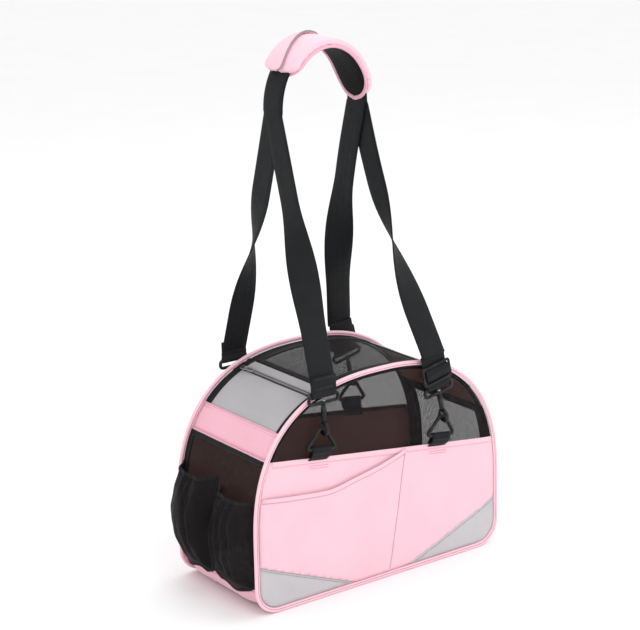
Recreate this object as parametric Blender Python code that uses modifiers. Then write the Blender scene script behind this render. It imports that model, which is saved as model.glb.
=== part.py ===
"""Soft-sided pet carrier bag.

Fabric and mesh panels hang on two sprung wire hoops, one behind each long side.  Two webbing
straps are clipped to rings on the long sides and share one wrap pad.  The roof and the right
end open as doors, and the left end carries two mesh pockets.

Metres, +Z up.  X runs along the bag, the front side faces -Y, and the origin is at the middle of
the flat base, on the surface that the bag stands on.
"""
import math

import bmesh
import bpy
from mathutils import Matrix, Vector

# ---- driving dimensions ----
HALF_LENGTH = 0.2335      # seam line of a side panel, from its middle to each end
HALF_DEPTH = 0.1065       # from the middle of the bag to the middle of a side panel
SEAM_BASE = 0.0090        # lowest run of the seam line, above the ground
LEAN_START = 0.1155       # height where the ends begin to lean inwards
CROWN_HEIGHT = 0.229      # from there to the top of the seam line
CROWN_POWER = 2.5         # how square the shoulders are
FOOT_RADIUS = 0.034       # bottom corners of the side panels
PANEL = 0.003             # side panel thickness
SKIN = 0.0025             # gusset thickness
GAP = 0.0003              # between pieces that touch
PIPING_RADIUS = 0.004
WIRE_RADIUS = 0.0014
HUB = Vector((0.0, 0.12)) # outline points are found along rays from here
STRAIGHT = 1e-8           # outline points that turn less than this are left out

TRIM_MIDDLE = 0.217       # height of the fabric's slanted top edge at the middle of a side
TRIM_SLOPE = -0.131       # and its slope, higher at the left
SLANT = math.atan(-TRIM_SLOPE)    # the tabs and rings lean with it
PATCH_HEIGHT = 0.072      # corner patches, up the end
PATCH_LENGTH = 0.180      # and along the base
POCKET_DEPTH = 0.0055     # slip pocket, out from the side panel

POCKET_MOUTH = 0.186      # top of the two mesh pockets on the left end
POCKET_BULGE = 0.030      # their fullness
POCKET_SKIN = 0.0016
BAND_TOP_LOW = 0.042      # top of the fabric band round each foot
BAND_LOW = 0.243          # the coloured band high on each end
BAND_HIGH = 0.281
ZIP_X = 0.118             # the zips across the two ends of the roof
DOOR_HALF = 0.088         # half the width of both doors

WEB_WIDTH = 0.038
WEB = 0.002               # webbing thickness
TAB_X = 0.117             # the four tabs, from the middle of the bag
TAB_Y = 0.1165            # and outwards
HOOK_Y = 0.1196           # hooks and strap ends, outwards
RIGHT_LEAN = math.radians(-12)    # the right hooks lean towards the pad
TAB_RISE = 0.0165         # ring bar above the fabric's top edge
RING_RADIUS = 0.0022
RING_HEIGHT = 0.031
HOOK_TOP = 0.0405         # top of a hook's stem above the ring's top bar
EYE_HEIGHT = 0.049        # webbing eye above the ring's top bar
STRAP_FOOT = 0.0575       # and the strap's end
LEFT_STRAIGHT = 0.014     # straight foot of a left leg
RIGHT_STRAIGHT = 0.062    # and of a right one, where the slide adjuster runs
LEG_MARKS = (0.72, 0.48, 0.24)    # shares of the way from the arch down to the straight foot
TWIST_LOW, TWIST_HIGH = 0.42, 0.62    # heights between which a leg makes its quarter turn
ADJUSTER_HEIGHT = 0.021   # middle of the slide adjuster above the strap's end
ADJUSTER_RISE = 0.016     # half its height
ADJUSTER_OUT = 0.0009     # from the webbing's outer face
ADJUSTER_THICK = 0.004
SLIDER_LEAN = math.radians(22)    # slope of the roof under the zip slider
ARCH_X = -0.033           # middle of the pad
ARCH_Z = 0.748            # where the straps start to arch under the pad
ARCH_HALF = 0.079
ARCH_RISE = 0.098
PAD_HALF_WIDTH = 0.0375
PAD_START, PAD_END = 146.0, 2.0    # the pad's two ends, degrees round the arch

COLOURS = {
    "pink": ((0.93, 0.62, 0.70, 1), 0.75, 0.0),
    "grey": ((0.50, 0.49, 0.50, 1), 0.80, 0.0),
    "mesh": ((0.020, 0.018, 0.018, 1), 0.85, 0.0),
    "webbing": ((0.018, 0.018, 0.020, 1), 0.80, 0.0),
    "binding": ((0.015, 0.015, 0.016, 1), 0.80, 0.0),
    "plastic": ((0.020, 0.020, 0.022, 1), 0.40, 0.0),
    "steel": ((0.60, 0.60, 0.60, 1), 0.30, 1.0),
    "board": ((0.10, 0.08, 0.07, 1), 0.90, 0.0),
    "fleece": ((0.80, 0.78, 0.76, 1), 0.95, 0.0),
}


# ---- scene ----
def clear_scene():
    for item in list(bpy.data.objects):
        bpy.data.objects.remove(item, do_unlink=True)


def new_collection(name):
    collection = bpy.data.collections.new(name)
    bpy.context.scene.collection.children.link(collection)
    return collection


clear_scene()
BAG = new_collection("pet_carrier_bag")
CUTTERS = new_collection("cutters")


def material(name):
    """The Principled material of that name, made on first use."""
    if name in bpy.data.materials:
        return bpy.data.materials[name]
    made = bpy.data.materials.new(name)
    made.use_nodes = True
    shader = made.node_tree.nodes["Principled BSDF"]
    colour, roughness, metallic = COLOURS[name]
    shader.inputs["Base Color"].default_value = colour
    shader.inputs["Roughness"].default_value = roughness
    shader.inputs["Metallic"].default_value = metallic
    return made


def add(name, data, finish, collection=BAG):
    """A new object holding data, with its finish, in a collection."""
    made = bpy.data.objects.new(name, data)
    collection.objects.link(made)
    if finish:
        data.materials.append(material(finish))
    return made


def empty(name, location):
    """A pivot that moving pieces hang from."""
    pivot = bpy.data.objects.new(name, None)
    pivot.location = location
    BAG.objects.link(pivot)
    return pivot


def hang(piece, pivot):
    """Parents a piece to a pivot and leaves it where it is."""
    piece.parent = pivot
    piece.matrix_parent_inverse = Matrix.Translation(-pivot.location)
    return piece


# ---- the side panel's outline ----
def is_inside(x, z):
    """Whether a point lies within the seam line."""
    if z > LEAN_START:
        lean = ((z - LEAN_START) / CROWN_HEIGHT) ** CROWN_POWER
        return abs(x / HALF_LENGTH) ** CROWN_POWER + lean < 1
    over = abs(x) - (HALF_LENGTH - FOOT_RADIUS)
    if over <= 0 or z > SEAM_BASE + FOOT_RADIUS:
        return z > SEAM_BASE and abs(x) < HALF_LENGTH
    return math.hypot(over, SEAM_BASE + FOOT_RADIUS - z) < FOOT_RADIUS


def seam_point(angle):
    """The seam line's point on the ray at angle from the hub."""
    ray = Vector((math.cos(angle), math.sin(angle)))
    low, high = 0.05, 0.40
    for _ in range(24):
        middle = (low + high) / 2
        point = HUB + ray * middle
        low, high = (middle, high) if is_inside(*point) else (low, middle)
    return HUB + ray * low


def outline_point(angle, offset):
    """The seam line's point on that ray, pushed outwards by offset."""
    along = seam_point(angle + 0.01) - seam_point(angle - 0.01)
    normal = Vector((along.y, -along.x)).normalized()
    return seam_point(angle) + normal * offset


def ray_angle(x, z):
    return math.atan2(z - HUB.y, x - HUB.x) % math.tau


def run(start, end, offset, step=4.0):
    """Outline points anticlockwise between the rays through two points, closer at the feet."""
    first, last = ray_angle(*start), ray_angle(*end)
    last += math.tau if last <= first else 0.0
    angles = [first]
    while angles[-1] < last:
        at = math.degrees(angles[-1]) % 360
        at_foot = 195 < at < 215 or 325 < at < 345
        angles.append(angles[-1] + math.radians(2.2 if at_foot else step))
    angles[-1] = last
    if angles[-1] - angles[-2] < 0.01:
        del angles[-2]
    points = [outline_point(angle, offset) for angle in angles]
    turns = [(point - before).cross(after - point)
             for before, point, after in zip(points, points[1:], points[2:])]
    bends = [point for point, turn in zip(points[1:], turns) if abs(turn) > STRAIGHT]
    return [points[0], *bends, points[-1]]


def full_outline(offset, step=4.0):
    """The whole closed outline, anticlockwise from the right."""
    start = (HALF_LENGTH, HUB.y)
    return run(start, start, offset, step)[:-1]


def surface_x(z, offset=0.0):
    """How far the end wall stands from the middle at a height."""
    if z <= LEAN_START:
        return HALF_LENGTH + offset
    lean = ((z - LEAN_START) / CROWN_HEIGHT) ** CROWN_POWER
    return HALF_LENGTH * (1 - lean) ** (1 / CROWN_POWER) + offset


def trim_height(x):
    """Height of the fabric's top edge."""
    return TRIM_MIDDLE + TRIM_SLOPE * x


def clip(points, through, normal):
    """The part of a polygon on the side of a line that normal points to."""
    kept = []
    for index, point in enumerate(points):
        before = points[index - 1]
        here = (point - through).dot(normal)
        there = (before - through).dot(normal)
        if here * there < 0:
            kept.append(before + (point - before) * (there / (there - here)))
        if here >= 0:
            kept.append(point)
    return kept


# ---- shapes ----
def flat(name, points, centre, half, finish, turn, collection=BAG):
    """A flat outline with thickness, as a filled curve."""
    curve = bpy.data.curves.new(name, "CURVE")
    curve.dimensions = "2D"
    curve.fill_mode = "BOTH"
    curve.extrude = half
    spline = curve.splines.new("POLY")
    spline.points.add(len(points) - 1)
    for target, point in zip(spline.points, points):
        target.co = (point[0], point[1], 0, 1)
    spline.use_cyclic_u = True
    made = add(name, curve, finish, collection)
    made.location = centre
    made.rotation_euler = turn
    return made


def wall(name, points, y_low, y_high, finish, collection=BAG):
    """An outline in (x, z) that runs from y_low to y_high."""
    centre = (0, (y_low + y_high) / 2, 0)
    return flat(name, points, centre, (y_high - y_low) / 2, finish, (math.pi / 2, 0, 0), collection)


def across(name, points, x, half, finish):
    """An outline in (y, z) that runs along X about x."""
    return flat(name, points, (x, 0, 0), half, finish, (math.pi / 2, 0, math.pi / 2))


def gusset(name, start, end, y_low, y_high, finish):
    """A strip of the wall between the two sides, following the outline."""
    points = run(start, end, 0.0) + run(start, end, -SKIN)[::-1]
    return wall(name, points, y_low, y_high, finish)


def tube(name, points, radius, finish, cyclic=False, resolution=2):
    """A round bar along points."""
    curve = bpy.data.curves.new(name, "CURVE")
    curve.dimensions = "3D"
    curve.bevel_depth = radius
    curve.bevel_resolution = resolution
    curve.use_fill_caps = not cyclic
    spline = curve.splines.new("POLY")
    spline.points.add(len(points) - 1)
    for target, point in zip(spline.points, points):
        target.co = (*point, 1)
    spline.use_cyclic_u = cyclic
    return add(name, curve, finish)


def as_mesh(piece):
    """Turns a curve piece into a welded mesh piece of the same name."""
    bpy.context.view_layer.update()
    evaluated = piece.evaluated_get(bpy.context.evaluated_depsgraph_get())
    mesh = bpy.data.meshes.new_from_object(evaluated)
    body = bmesh.new()
    body.from_mesh(mesh)
    bmesh.ops.remove_doubles(body, verts=body.verts, dist=0.00005)
    bmesh.ops.recalc_face_normals(body, faces=body.faces)
    body.to_mesh(mesh)
    body.free()
    name, collection = piece.name, piece.users_collection[0]
    place = piece.matrix_world.copy()
    bpy.data.objects.remove(piece, do_unlink=True)
    made = bpy.data.objects.new(name, mesh)
    made.matrix_world = place
    collection.objects.link(made)
    return made


def carve(piece, cutter, operation="DIFFERENCE"):
    """Cuts one mesh piece with another, or joins them."""
    modifier = piece.modifiers.new("carve", "BOOLEAN")
    modifier.operation = operation
    modifier.solver = "EXACT"
    modifier.object = cutter
    cutter.display_type = "WIRE"
    cutter.hide_render = True
    bpy.context.view_layer.update()
    cutter.parent = piece
    cutter.matrix_parent_inverse = piece.matrix_world.inverted()


def bevelled_box(name, low, high, radius, finish, segments=3):
    """A box between two corners with rounded edges."""
    low, high = Vector(low), Vector(high)
    body = bmesh.new()
    bmesh.ops.create_cube(body, size=1.0)
    bmesh.ops.scale(body, vec=high - low, verts=body.verts)
    mesh = bpy.data.meshes.new(name)
    body.to_mesh(mesh)
    body.free()
    made = add(name, mesh, finish)
    made.location = (low + high) / 2
    rounding = made.modifiers.new("rounding", "BEVEL")
    rounding.width = radius
    rounding.segments = segments
    return made


def loft(name, sections, finish):
    """A closed skin through matching rings of points, with flat ends."""
    body = bmesh.new()
    rings = [[body.verts.new(point) for point in ring] for ring in sections]
    count = len(rings[0])
    for here, there in zip(rings, rings[1:]):
        for index in range(count):
            after = (index + 1) % count
            body.faces.new((here[index], here[after], there[after], there[index]))
    body.faces.new(rings[0])
    body.faces.new(rings[-1])
    bmesh.ops.recalc_face_normals(body, faces=body.faces)
    mesh = bpy.data.meshes.new(name)
    body.to_mesh(mesh)
    body.free()
    return add(name, mesh, finish)


def smooth_path(points, steps):
    """Points along a smooth curve through the given ones."""
    padded = [points[0] * 2 - points[1], *points, points[-1] * 2 - points[-2]]
    path = []
    for before, start, end, after in zip(padded, padded[1:], padded[2:], padded[3:]):
        for step in range(steps):
            t = step / steps
            path.append(0.5 * (2 * start + (end - before) * t
                               + (2 * before - 5 * start + 4 * end - after) * t ** 2
                               + (3 * start - before - 3 * end + after) * t ** 3))
    return [*path, points[-1]]


# ---- long sides ----
def side_y(side, depth_in, depth_out):
    """The low and high Y of a layer on a long side, from distances to the middle of the bag."""
    return (depth_in, depth_out) if side > 0 else (-depth_out, -depth_in)


def patch_line(end):
    """A point on a corner patch's sloping edge, and the direction to its outer corner."""
    through = Vector((end * (HALF_LENGTH - PATCH_LENGTH), SEAM_BASE))
    edge = Vector((end * PATCH_LENGTH, PATCH_HEIGHT))
    return through, Vector((end * edge.y, -abs(edge.x))).normalized()


def build_side(name, side):
    """Fabric below, mesh window above, corner patches, piping and the sprung hoop."""
    low, high = side_y(side, HALF_DEPTH - PANEL / 2, HALF_DEPTH + PANEL / 2)
    outline = full_outline(0.0)
    trim = Vector((0, TRIM_MIDDLE))
    upward = Vector((-TRIM_SLOPE, 1)).normalized()
    window = clip(outline, trim + upward * GAP, upward)
    wall(name + "_mesh_window", window, low, high, "mesh")
    fabric = clip(outline, trim, -upward)
    for end, word in ((-1, "left"), (1, "right")):
        through, outward = patch_line(end)
        patch = clip(fabric, through + outward * GAP, outward)
        wall(f"{name}_corner_patch_{word}", patch, low, high, "grey")
    for end in (-1, 1):
        through, outward = patch_line(end)
        fabric = clip(fabric, through, -outward)
    wall(name + "_lower_panel", fabric, low, high, "pink")

    y = side * HALF_DEPTH
    edge = [(p.x, y, p.y) for p in full_outline(PIPING_RADIUS + 2 * GAP)]
    tube(name + "_piping", edge, PIPING_RADIUS, "pink", cyclic=True)
    y = side * (HALF_DEPTH - PANEL / 2 - GAP - WIRE_RADIUS)
    hoop = [(p.x, y, p.y) for p in full_outline(-SKIN - 2 * GAP - WIRE_RADIUS, 5.0)]
    tube(name + "_hoop_wire", hoop, WIRE_RADIUS, "steel", cyclic=True, resolution=1)


POCKET_TOP = ((-0.226, 0.190), (-0.162, 0.183), (-0.103, 0.178), (-0.054, 0.186),
              (-0.006, 0.195), (0.030, 0.205), (0.0475, 0.2095))
POCKET_FOOT_X = 0.0155    # lower end of the pocket's sewn right edge


def build_slip_pocket():
    """A flat pocket on the front panel, open along its dipping top edge."""
    inner = HALF_DEPTH + PANEL / 2 + GAP
    low, high = side_y(-1, inner, inner + POCKET_DEPTH)
    through, outward = patch_line(-1)
    cloth = clip(full_outline(-GAP), through - outward * GAP, -outward)
    foot = [point for point in cloth if point.y < POCKET_TOP[0][1] and point.x < POCKET_FOOT_X]
    foot.sort(key=lambda point: ray_angle(*point), reverse=True)
    mouth = smooth_path([Vector(point) for point in POCKET_TOP], 3)
    outline = [*mouth, Vector((POCKET_FOOT_X, foot[0].y)), *foot]
    pocket = as_mesh(wall("front_slip_pocket", outline, low, high, "pink"))
    middle = Vector((-0.09, 0.11))
    hollow = [point + (middle - point).normalized() * 0.004 for point in outline]
    hollow[:len(mouth)] = [point + Vector((0, 0.02)) for point in hollow[:len(mouth)]]
    cutter = wall("pocket_hollow", hollow, low + 0.0011, high + 0.005, None, CUTTERS)
    carve(pocket, as_mesh(cutter))


# ---- ends, floor and roof ----
def build_floor():
    inner = HALF_DEPTH - PANEL / 2 - GAP
    half = HALF_LENGTH - FOOT_RADIUS - GAP
    ramp = 0.185
    base = [(-half, SEAM_BASE), (-ramp, 0), (ramp, 0), (half, SEAM_BASE),
            (half, SEAM_BASE + SKIN), (ramp - 0.001, SKIN), (0.001 - ramp, SKIN), (-half, SEAM_BASE + SKIN)]
    between = HALF_DEPTH - PIPING_RADIUS - 2 * GAP
    wall("bottom_panel", base, -between, between, "grey")
    board = SEAM_BASE + SKIN + GAP
    clear = inner - 2 * WIRE_RADIUS - 0.001
    bevelled_box("base_board", (-0.196, -clear, board), (0.196, clear, board + 0.003), 0.001, "board", 1)
    bed = board + 0.003 + GAP
    low, high = (-0.206, 0.004 - clear, bed), (0.206, clear - 0.004, bed + 0.018)
    bevelled_box("fleece_bed", low, high, 0.008, "fleece")


def at_end(end, z):
    """A point on the end wall at a height."""
    return (end * surface_x(z), z)


def end_gusset(name, end, z_low, z_high, y_half, finish):
    """A strip of an end wall between two heights, or to the roof zip where z_high is None."""
    lower = at_end(end, z_low)
    upper = at_end(end, z_high) if z_high else (end * (ZIP_X + 0.0012), 0.33)
    start, stop = (upper, lower) if end < 0 else (lower, upper)
    return gusset(name, start, stop, -y_half, y_half, finish)


def build_end(word, end):
    """The fixed strips of an end wall, from the foot up to the roof zip."""
    inner = HALF_DEPTH - PANEL / 2 - GAP
    foot = (end * (HALF_LENGTH - FOOT_RADIUS), SEAM_BASE)
    top = at_end(end, BAND_TOP_LOW)
    start, stop = (top, foot) if end < 0 else (foot, top)
    gusset(word + "_lower_band", start, stop, -inner, inner, "pink")
    window = end_gusset(word + "_end_mesh", end, BAND_TOP_LOW + GAP, BAND_LOW - GAP, inner, "mesh")
    end_gusset(word + "_upper_band", end, BAND_LOW, BAND_HIGH, inner, "pink")
    end_gusset(word + "_top_panel", end, BAND_HIGH + GAP, None, inner, "grey")
    return window


def build_end_door():
    """A zipped mesh door in the right end, hinged along its lower edge."""
    window = as_mesh(bpy.data.objects["right_end_mesh"])
    low, high = BAND_TOP_LOW + 0.008, BAND_LOW - 0.008
    body = bmesh.new()
    bmesh.ops.create_cube(body, size=1.0)
    bmesh.ops.scale(body, vec=(0.08, 2 * DOOR_HALF, high - low), verts=body.verts)
    mesh = bpy.data.meshes.new("doorway")
    body.to_mesh(mesh)
    body.free()
    doorway = add("doorway", mesh, None, CUTTERS)
    doorway.location = (HALF_LENGTH, 0, (low + high) / 2)
    carve(window, doorway)
    clear = 0.0008
    door = gusset("right_end_door", at_end(1, low + clear), at_end(1, high - clear),
                  clear - DOOR_HALF, DOOR_HALF - clear, "mesh")
    hang(door, empty("end_door_hinge", (HALF_LENGTH, 0, low + clear)))


def build_pocket(name, y_low, y_high):
    """A bulging mesh pocket on the left end, open at the top."""
    foot = BAND_TOP_LOW + 0.003

    def bulge(z):
        part = min((z - foot) / (POCKET_MOUTH - foot), 1)
        return POCKET_BULGE * math.sin(math.pi * (0.10 + 0.72 * part))

    def profile(skin, top, back):
        """An outline in (x, z): the bulging side less a skin, then a side that far off the wall."""
        heights = [foot + skin + (top - foot - skin) * step / 9 for step in range(10)]
        outer = [(-surface_x(z, bulge(z) - skin), z) for z in heights]
        inner = [(-surface_x(z, back), z) for z in heights[::-1]]
        return [Vector(point) for point in (*outer, *inner)]

    pocket = as_mesh(wall(name, profile(0, POCKET_MOUTH, 2 * GAP), y_low, y_high, "mesh"))
    hollow = profile(POCKET_SKIN, POCKET_MOUTH + 0.01, -0.006)
    cutter = wall(name + "_hollow", hollow, y_low + POCKET_SKIN, y_high - POCKET_SKIN, None, CUTTERS)
    carve(pocket, as_mesh(cutter))


def build_roof():
    """Zip tapes along the roof's long edges, the mesh door and its fabric lead strip."""
    inner = HALF_DEPTH - PANEL / 2 - GAP
    left, right = (-ZIP_X, 0.33), (ZIP_X, 0.33)
    for side, word in ((-1, "front"), (1, "rear")):
        low, high = side_y(side, DOOR_HALF + 0.0008, inner)
        gusset(f"roof_zip_tape_{word}", right, left, low, high, "binding")
    hinge = seam_point(ray_angle(ZIP_X - 0.001, 0.33))
    pivot = empty("roof_door_hinge", (hinge.x, 0, hinge.y))
    strip_end = (-ZIP_X + 0.016, 0.34)
    mesh = gusset("roof_door_mesh", (ZIP_X - 0.001, 0.33), strip_end, -DOOR_HALF, DOOR_HALF, "mesh")
    lead = gusset("roof_door_lead_strip", (-ZIP_X + 0.0158, 0.34), (-ZIP_X + 0.001, 0.33),
                  -DOOR_HALF, DOOR_HALF, "grey")
    hang(mesh, pivot)
    hang(lead, pivot)


def build_zip_slider():
    """The slider and its pull, parked at the rear end of the zip across the left of the roof."""
    seat = seam_point(ray_angle(-ZIP_X - 0.006, 0.33))
    pivot = empty("slider_track", (seat.x, 0.086, seat.y))
    low, thick = (-0.004, -0.006, 0.0), 0.0035
    slider = bevelled_box("roof_zip_slider", low, (0.004, 0.006, thick), 0.001, "steel", 2)
    slider.rotation_euler = (0, -SLIDER_LEAN, 0)
    lean = Matrix.Rotation(-SLIDER_LEAN, 3, "Y")
    slider.location = pivot.location + lean @ Vector((0, 0, thick / 2 + 0.0012))
    hang(slider, pivot)
    corners = ((-0.003, -0.006), (0.003, -0.006), (0.004, -0.028), (-0.004, -0.028))
    points = [pivot.location + lean @ Vector((x, y, 0.0062)) for x, y in rounded(corners, 0.0025, 3)]
    hang(tube("roof_zip_pull", points, 0.0009, "steel", cyclic=True), pivot)


# ---- tabs, rings, hooks ----
def rounded(corners, radius, steps):
    """A closed polygon whose corners are arcs."""
    corners = [Vector(corner) for corner in corners]
    points = []
    for index, corner in enumerate(corners):
        back = (corners[index - 1] - corner).normalized()
        onward = (corners[(index + 1) % len(corners)] - corner).normalized()
        half = back.angle(onward) / 2
        middle = corner + (back + onward).normalized() * radius / math.sin(half)
        start = corner + back * radius / math.tan(half) - middle
        turn = math.pi - 2 * half
        turn *= 1 if back.cross(onward) < 0 else -1
        for step in range(steps + 1):
            angle = turn * step / steps
            spin = Matrix.Rotation(angle, 2)
            points.append(middle + spin @ start)
    return points


def bar_centre(end, side):
    """Middle of a ring's lower bar, placed so that its top bar comes at TAB_X."""
    x = end * TAB_X - RING_HEIGHT * math.sin(SLANT)
    return Vector((x, side * TAB_Y, trim_height(x) + TAB_RISE))


def hook_seat(end, side):
    """Middle of the ring's top bar, moved out to the plane of the hooks."""
    rise = RING_HEIGHT * math.cos(SLANT)
    return Vector((end * TAB_X, side * HOOK_Y, bar_centre(end, side).z + rise))


def build_tab(name, end, side):
    """A doubled webbing tab, open round the ring's bar."""
    x, y, z = bar_centre(end, side)
    outer, inner = RING_RADIUS + 0.0022, RING_RADIUS + 0.0008
    bottom = z - 0.030

    def hairpin(radius, foot):
        turns = [math.pi * step / 8 for step in range(9)]
        arc = [(y + radius * math.cos(turn), z + radius * math.sin(turn)) for turn in turns]
        return [(y + radius, foot), *arc, (y - radius, foot)]

    points = hairpin(outer, bottom) + hairpin(inner, bottom + 0.012)[::-1]
    tab = across(name, points, x, WEB_WIDTH / 2, "webbing")
    bpy.context.view_layer.update()
    lean = Matrix.Translation((x, y, z)) @ Matrix.Rotation(SLANT, 4, "Y") @ Matrix.Translation((-x, -y, -z))
    tab.matrix_world = lean @ tab.matrix_world


def build_ring(name, end, side):
    """A triangular ring, its long bar along the slanted line on which the strap swings."""
    half, top = WEB_WIDTH / 2 + 0.0056, 0.0045
    corners = ((-half, 0), (half, 0), (top, RING_HEIGHT), (-top, RING_HEIGHT))
    lean = Matrix.Rotation(SLANT, 3, "Y")
    points = [bar_centre(end, side) + lean @ Vector((p.x, 0, p.y)) for p in rounded(corners, 0.0025, 3)]
    return tube(name, points, RING_RADIUS, "plastic", cyclic=True)


def at_hook(piece, end, side):
    """Stands a piece, made about the ring's top bar, in its place on a hook's leaning axis."""
    lean = Matrix.Rotation(RIGHT_LEAN if end > 0 else 0.0, 4, "Y")
    bpy.context.view_layer.update()
    piece.matrix_world = Matrix.Translation(hook_seat(end, side)) @ lean @ piece.matrix_world
    return piece


def build_hook(name, side):
    """The hook that passes round the ring's top bar, and its gate."""
    radius, centre = 0.0085, 0.0018
    stem = [Vector((0, 0, HOOK_TOP)), Vector((0, 0, 0.026))]
    sweep = [math.radians(angle) for angle in range(90, -200, -20)]
    bend = [Vector((0, side * radius * math.cos(a), centre + 1.1 * radius * math.sin(a))) for a in sweep]
    hook = tube(name, [*stem, *bend], 0.0025, "plastic")
    gate_foot = Vector((0, bend[-1].y, bend[-1].z + 0.0039))
    gate_top = Vector((0, side * -0.0046, centre + 1.1 * radius - 0.0006))
    gate = tube(name + "_gate", [gate_foot, gate_top], 0.0013, "plastic", resolution=1)
    return hook, gate


def build_eye(name):
    """The rounded oblong that the webbing is sewn to."""
    half, rise = WEB_WIDTH / 2 + 0.004, 0.006
    corners = ((-half, -rise), (half, -rise), (half, rise), (-half, rise))
    points = [(p.x, 0, p.y + EYE_HEIGHT) for p in rounded(corners, 0.0045, 3)]
    return tube(name, points, 0.0021, "plastic", cyclic=True)


def build_adjuster(name, side):
    """A slide adjuster on the outer face of a strap's right leg, with two slots."""
    middle, half = STRAP_FOOT + ADJUSTER_HEIGHT, WEB_WIDTH / 2 + 0.005
    inner = WEB / 2 + ADJUSTER_OUT
    low, high = side_y(side, inner, inner + ADJUSTER_THICK)

    def window(half_x, low_z, high_z, radius):
        corners = ((-half_x, low_z), (half_x, low_z), (half_x, high_z), (-half_x, high_z))
        return rounded(corners, radius, 3)

    face = window(half, middle - ADJUSTER_RISE, middle + ADJUSTER_RISE, 0.004)
    plate = as_mesh(wall(name, face, low, high, "plastic"))
    for foot in (middle - 0.0120, middle + 0.0032):
        slot = window(half - 0.004, foot, foot + 0.0088, 0.002)
        carve(plate, as_mesh(wall(name + "_slot", slot, low - 0.002, high + 0.002, None, CUTTERS)))
    return plate


# ---- straps ----
def leg_path(end, side, stack):
    """Centreline of one leg, from its eye up to where the arch starts."""
    lean = RIGHT_LEAN if end > 0 else 0.0
    axis = Vector((math.sin(lean), 0, math.cos(lean)))
    foot = hook_seat(end, side) + axis * STRAP_FOOT
    straight = RIGHT_STRAIGHT if end > 0 else LEFT_STRAIGHT
    marks = [foot + axis * straight * part for part in (0, 0.4, 0.8, 1)]
    start, top = marks[-1], Vector((ARCH_X + end * (ARCH_HALF + stack), 0, ARCH_Z))
    for part in LEG_MARKS:
        x = top.x + (start.x - top.x) * part ** 2.2
        marks.append(Vector((x, start.y * part, top.z + (start.z - top.z) * part)))
    return smooth_path([*marks, top], 4)


def strap_section(point, tangent, width):
    """The four corners of the webbing at a point."""
    width = (width - tangent * width.dot(tangent)).normalized()
    half, thick = width * WEB_WIDTH / 2, width.cross(tangent) * WEB / 2
    return [point + half + thick, point - half + thick, point - half - thick, point + half - thick]


def leg_sections(end, side, stack):
    """Sections of one leg, turned a quarter turn between the eye and the arch."""
    path = leg_path(end, side, stack)
    sections = []
    for before, point, after in zip([path[0], *path], path, path[1:]):
        part = min(max((point.z - TWIST_LOW) / (TWIST_HIGH - TWIST_LOW), 0), 1)
        spread = math.radians(90) * part * part * (3 - 2 * part)
        width = Vector((math.cos(spread), -side * end * math.sin(spread), 0))
        sections.append((point, (after - before).normalized(), width))
    return sections


def strap_sections(side):
    """Rings of the strap from its left eye, over the arch and down to its right eye."""
    stack = 0.0013 if side < 0 else -0.0013
    sections = [strap_section(*parts) for parts in leg_sections(-1, side, stack)]
    for step in range(21):
        angle = math.radians(180 - 9 * step)
        across, up = math.cos(angle), math.sin(angle)
        point = Vector((ARCH_X + (ARCH_HALF + stack) * across, 0, ARCH_Z + (ARCH_RISE + stack) * up))
        tangent = Vector((ARCH_HALF * up, 0, -ARCH_RISE * across)).normalized()
        sections.append(strap_section(point, tangent, Vector((0, side, 0))))
    right = leg_sections(1, side, stack)
    sections += [strap_section(point, -tangent, -width) for point, tangent, width in right[::-1]]
    return sections


def pad_sections(outline):
    """Rings of a pad piece: an outline in (y, height above the strap) swept round the arch."""
    steps = 18
    sections = []
    for step in range(steps + 1):
        angle = math.radians(PAD_START + (PAD_END - PAD_START) * step / steps)
        normal = Vector((math.cos(angle) / ARCH_HALF, 0, math.sin(angle) / ARCH_RISE)).normalized()
        centre = Vector((ARCH_X + ARCH_HALF * math.cos(angle), 0, ARCH_Z + ARCH_RISE * math.sin(angle)))
        sections.append([centre + normal * height + Vector((0, y, 0)) for y, height in outline])
    return sections


def build_straps():
    """Each strap swings on the line through its two ring bars."""
    for side, word in ((-1, "front"), (1, "rear")):
        pivot = empty(word + "_strap_hinge", (0, side * TAB_Y, TRIM_MIDDLE + TAB_RISE))
        for end, hand in ((-1, "left"), (1, "right")):
            build_tab(f"{word}_tab_{hand}", end, side)
            hang(build_ring(f"{word}_ring_{hand}", end, side), pivot)
            for piece in (*build_hook(f"{word}_hook_{hand}", side), build_eye(f"{word}_eye_{hand}")):
                hang(at_hook(piece, end, side), pivot)
        hang(loft(word + "_strap", strap_sections(side), "webbing"), pivot)
        hang(at_hook(build_adjuster(word + "_adjuster", side), 1, side), pivot)
    build_pad(bpy.data.objects["front_strap_hinge"])


def build_pad(pivot):
    """The wrap pad round both straps: a lining under them and a cover over them, open at the rear."""
    half = PAD_HALF_WIDTH
    lining = ((-half, -0.0085), (half, -0.0085), (half, -0.0033), (-half, -0.0033))
    hang(loft("pad_lining", pad_sections(lining), "binding"), pivot)
    cover = ((-half, -0.0030), (0.003 - half, -0.0030), (0.003 - half, 0.0032), (half, 0.0032),
             (half, 0.0080), (-half, 0.0080))
    hang(loft("pad_cover", pad_sections(cover), "pink"), pivot)


def main():
    build_side("front", -1)
    build_side("rear", 1)
    build_slip_pocket()
    build_floor()
    build_end("left", -1)
    build_end("right", 1)
    build_end_door()
    build_pocket("left_pocket_front", -0.098, -0.011)
    build_pocket("left_pocket_rear", 0.011, 0.098)
    build_roof()
    build_zip_slider()
    build_straps()


main()
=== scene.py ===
"""Looks of a soft-sided pet carrier bag, built round its fixed frame.

Metres, +Z up. X runs along the bag, the side with the slip pocket faces -Y, the end with the two
mesh pockets faces -X, and the origin is on the ground under the middle of the base.
"""

import logging
import math
from dataclasses import dataclass
from enum import Enum
from typing import Callable, ClassVar, Sequence

import bmesh
import bpy
from mathutils import Matrix, Vector, noise


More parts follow.
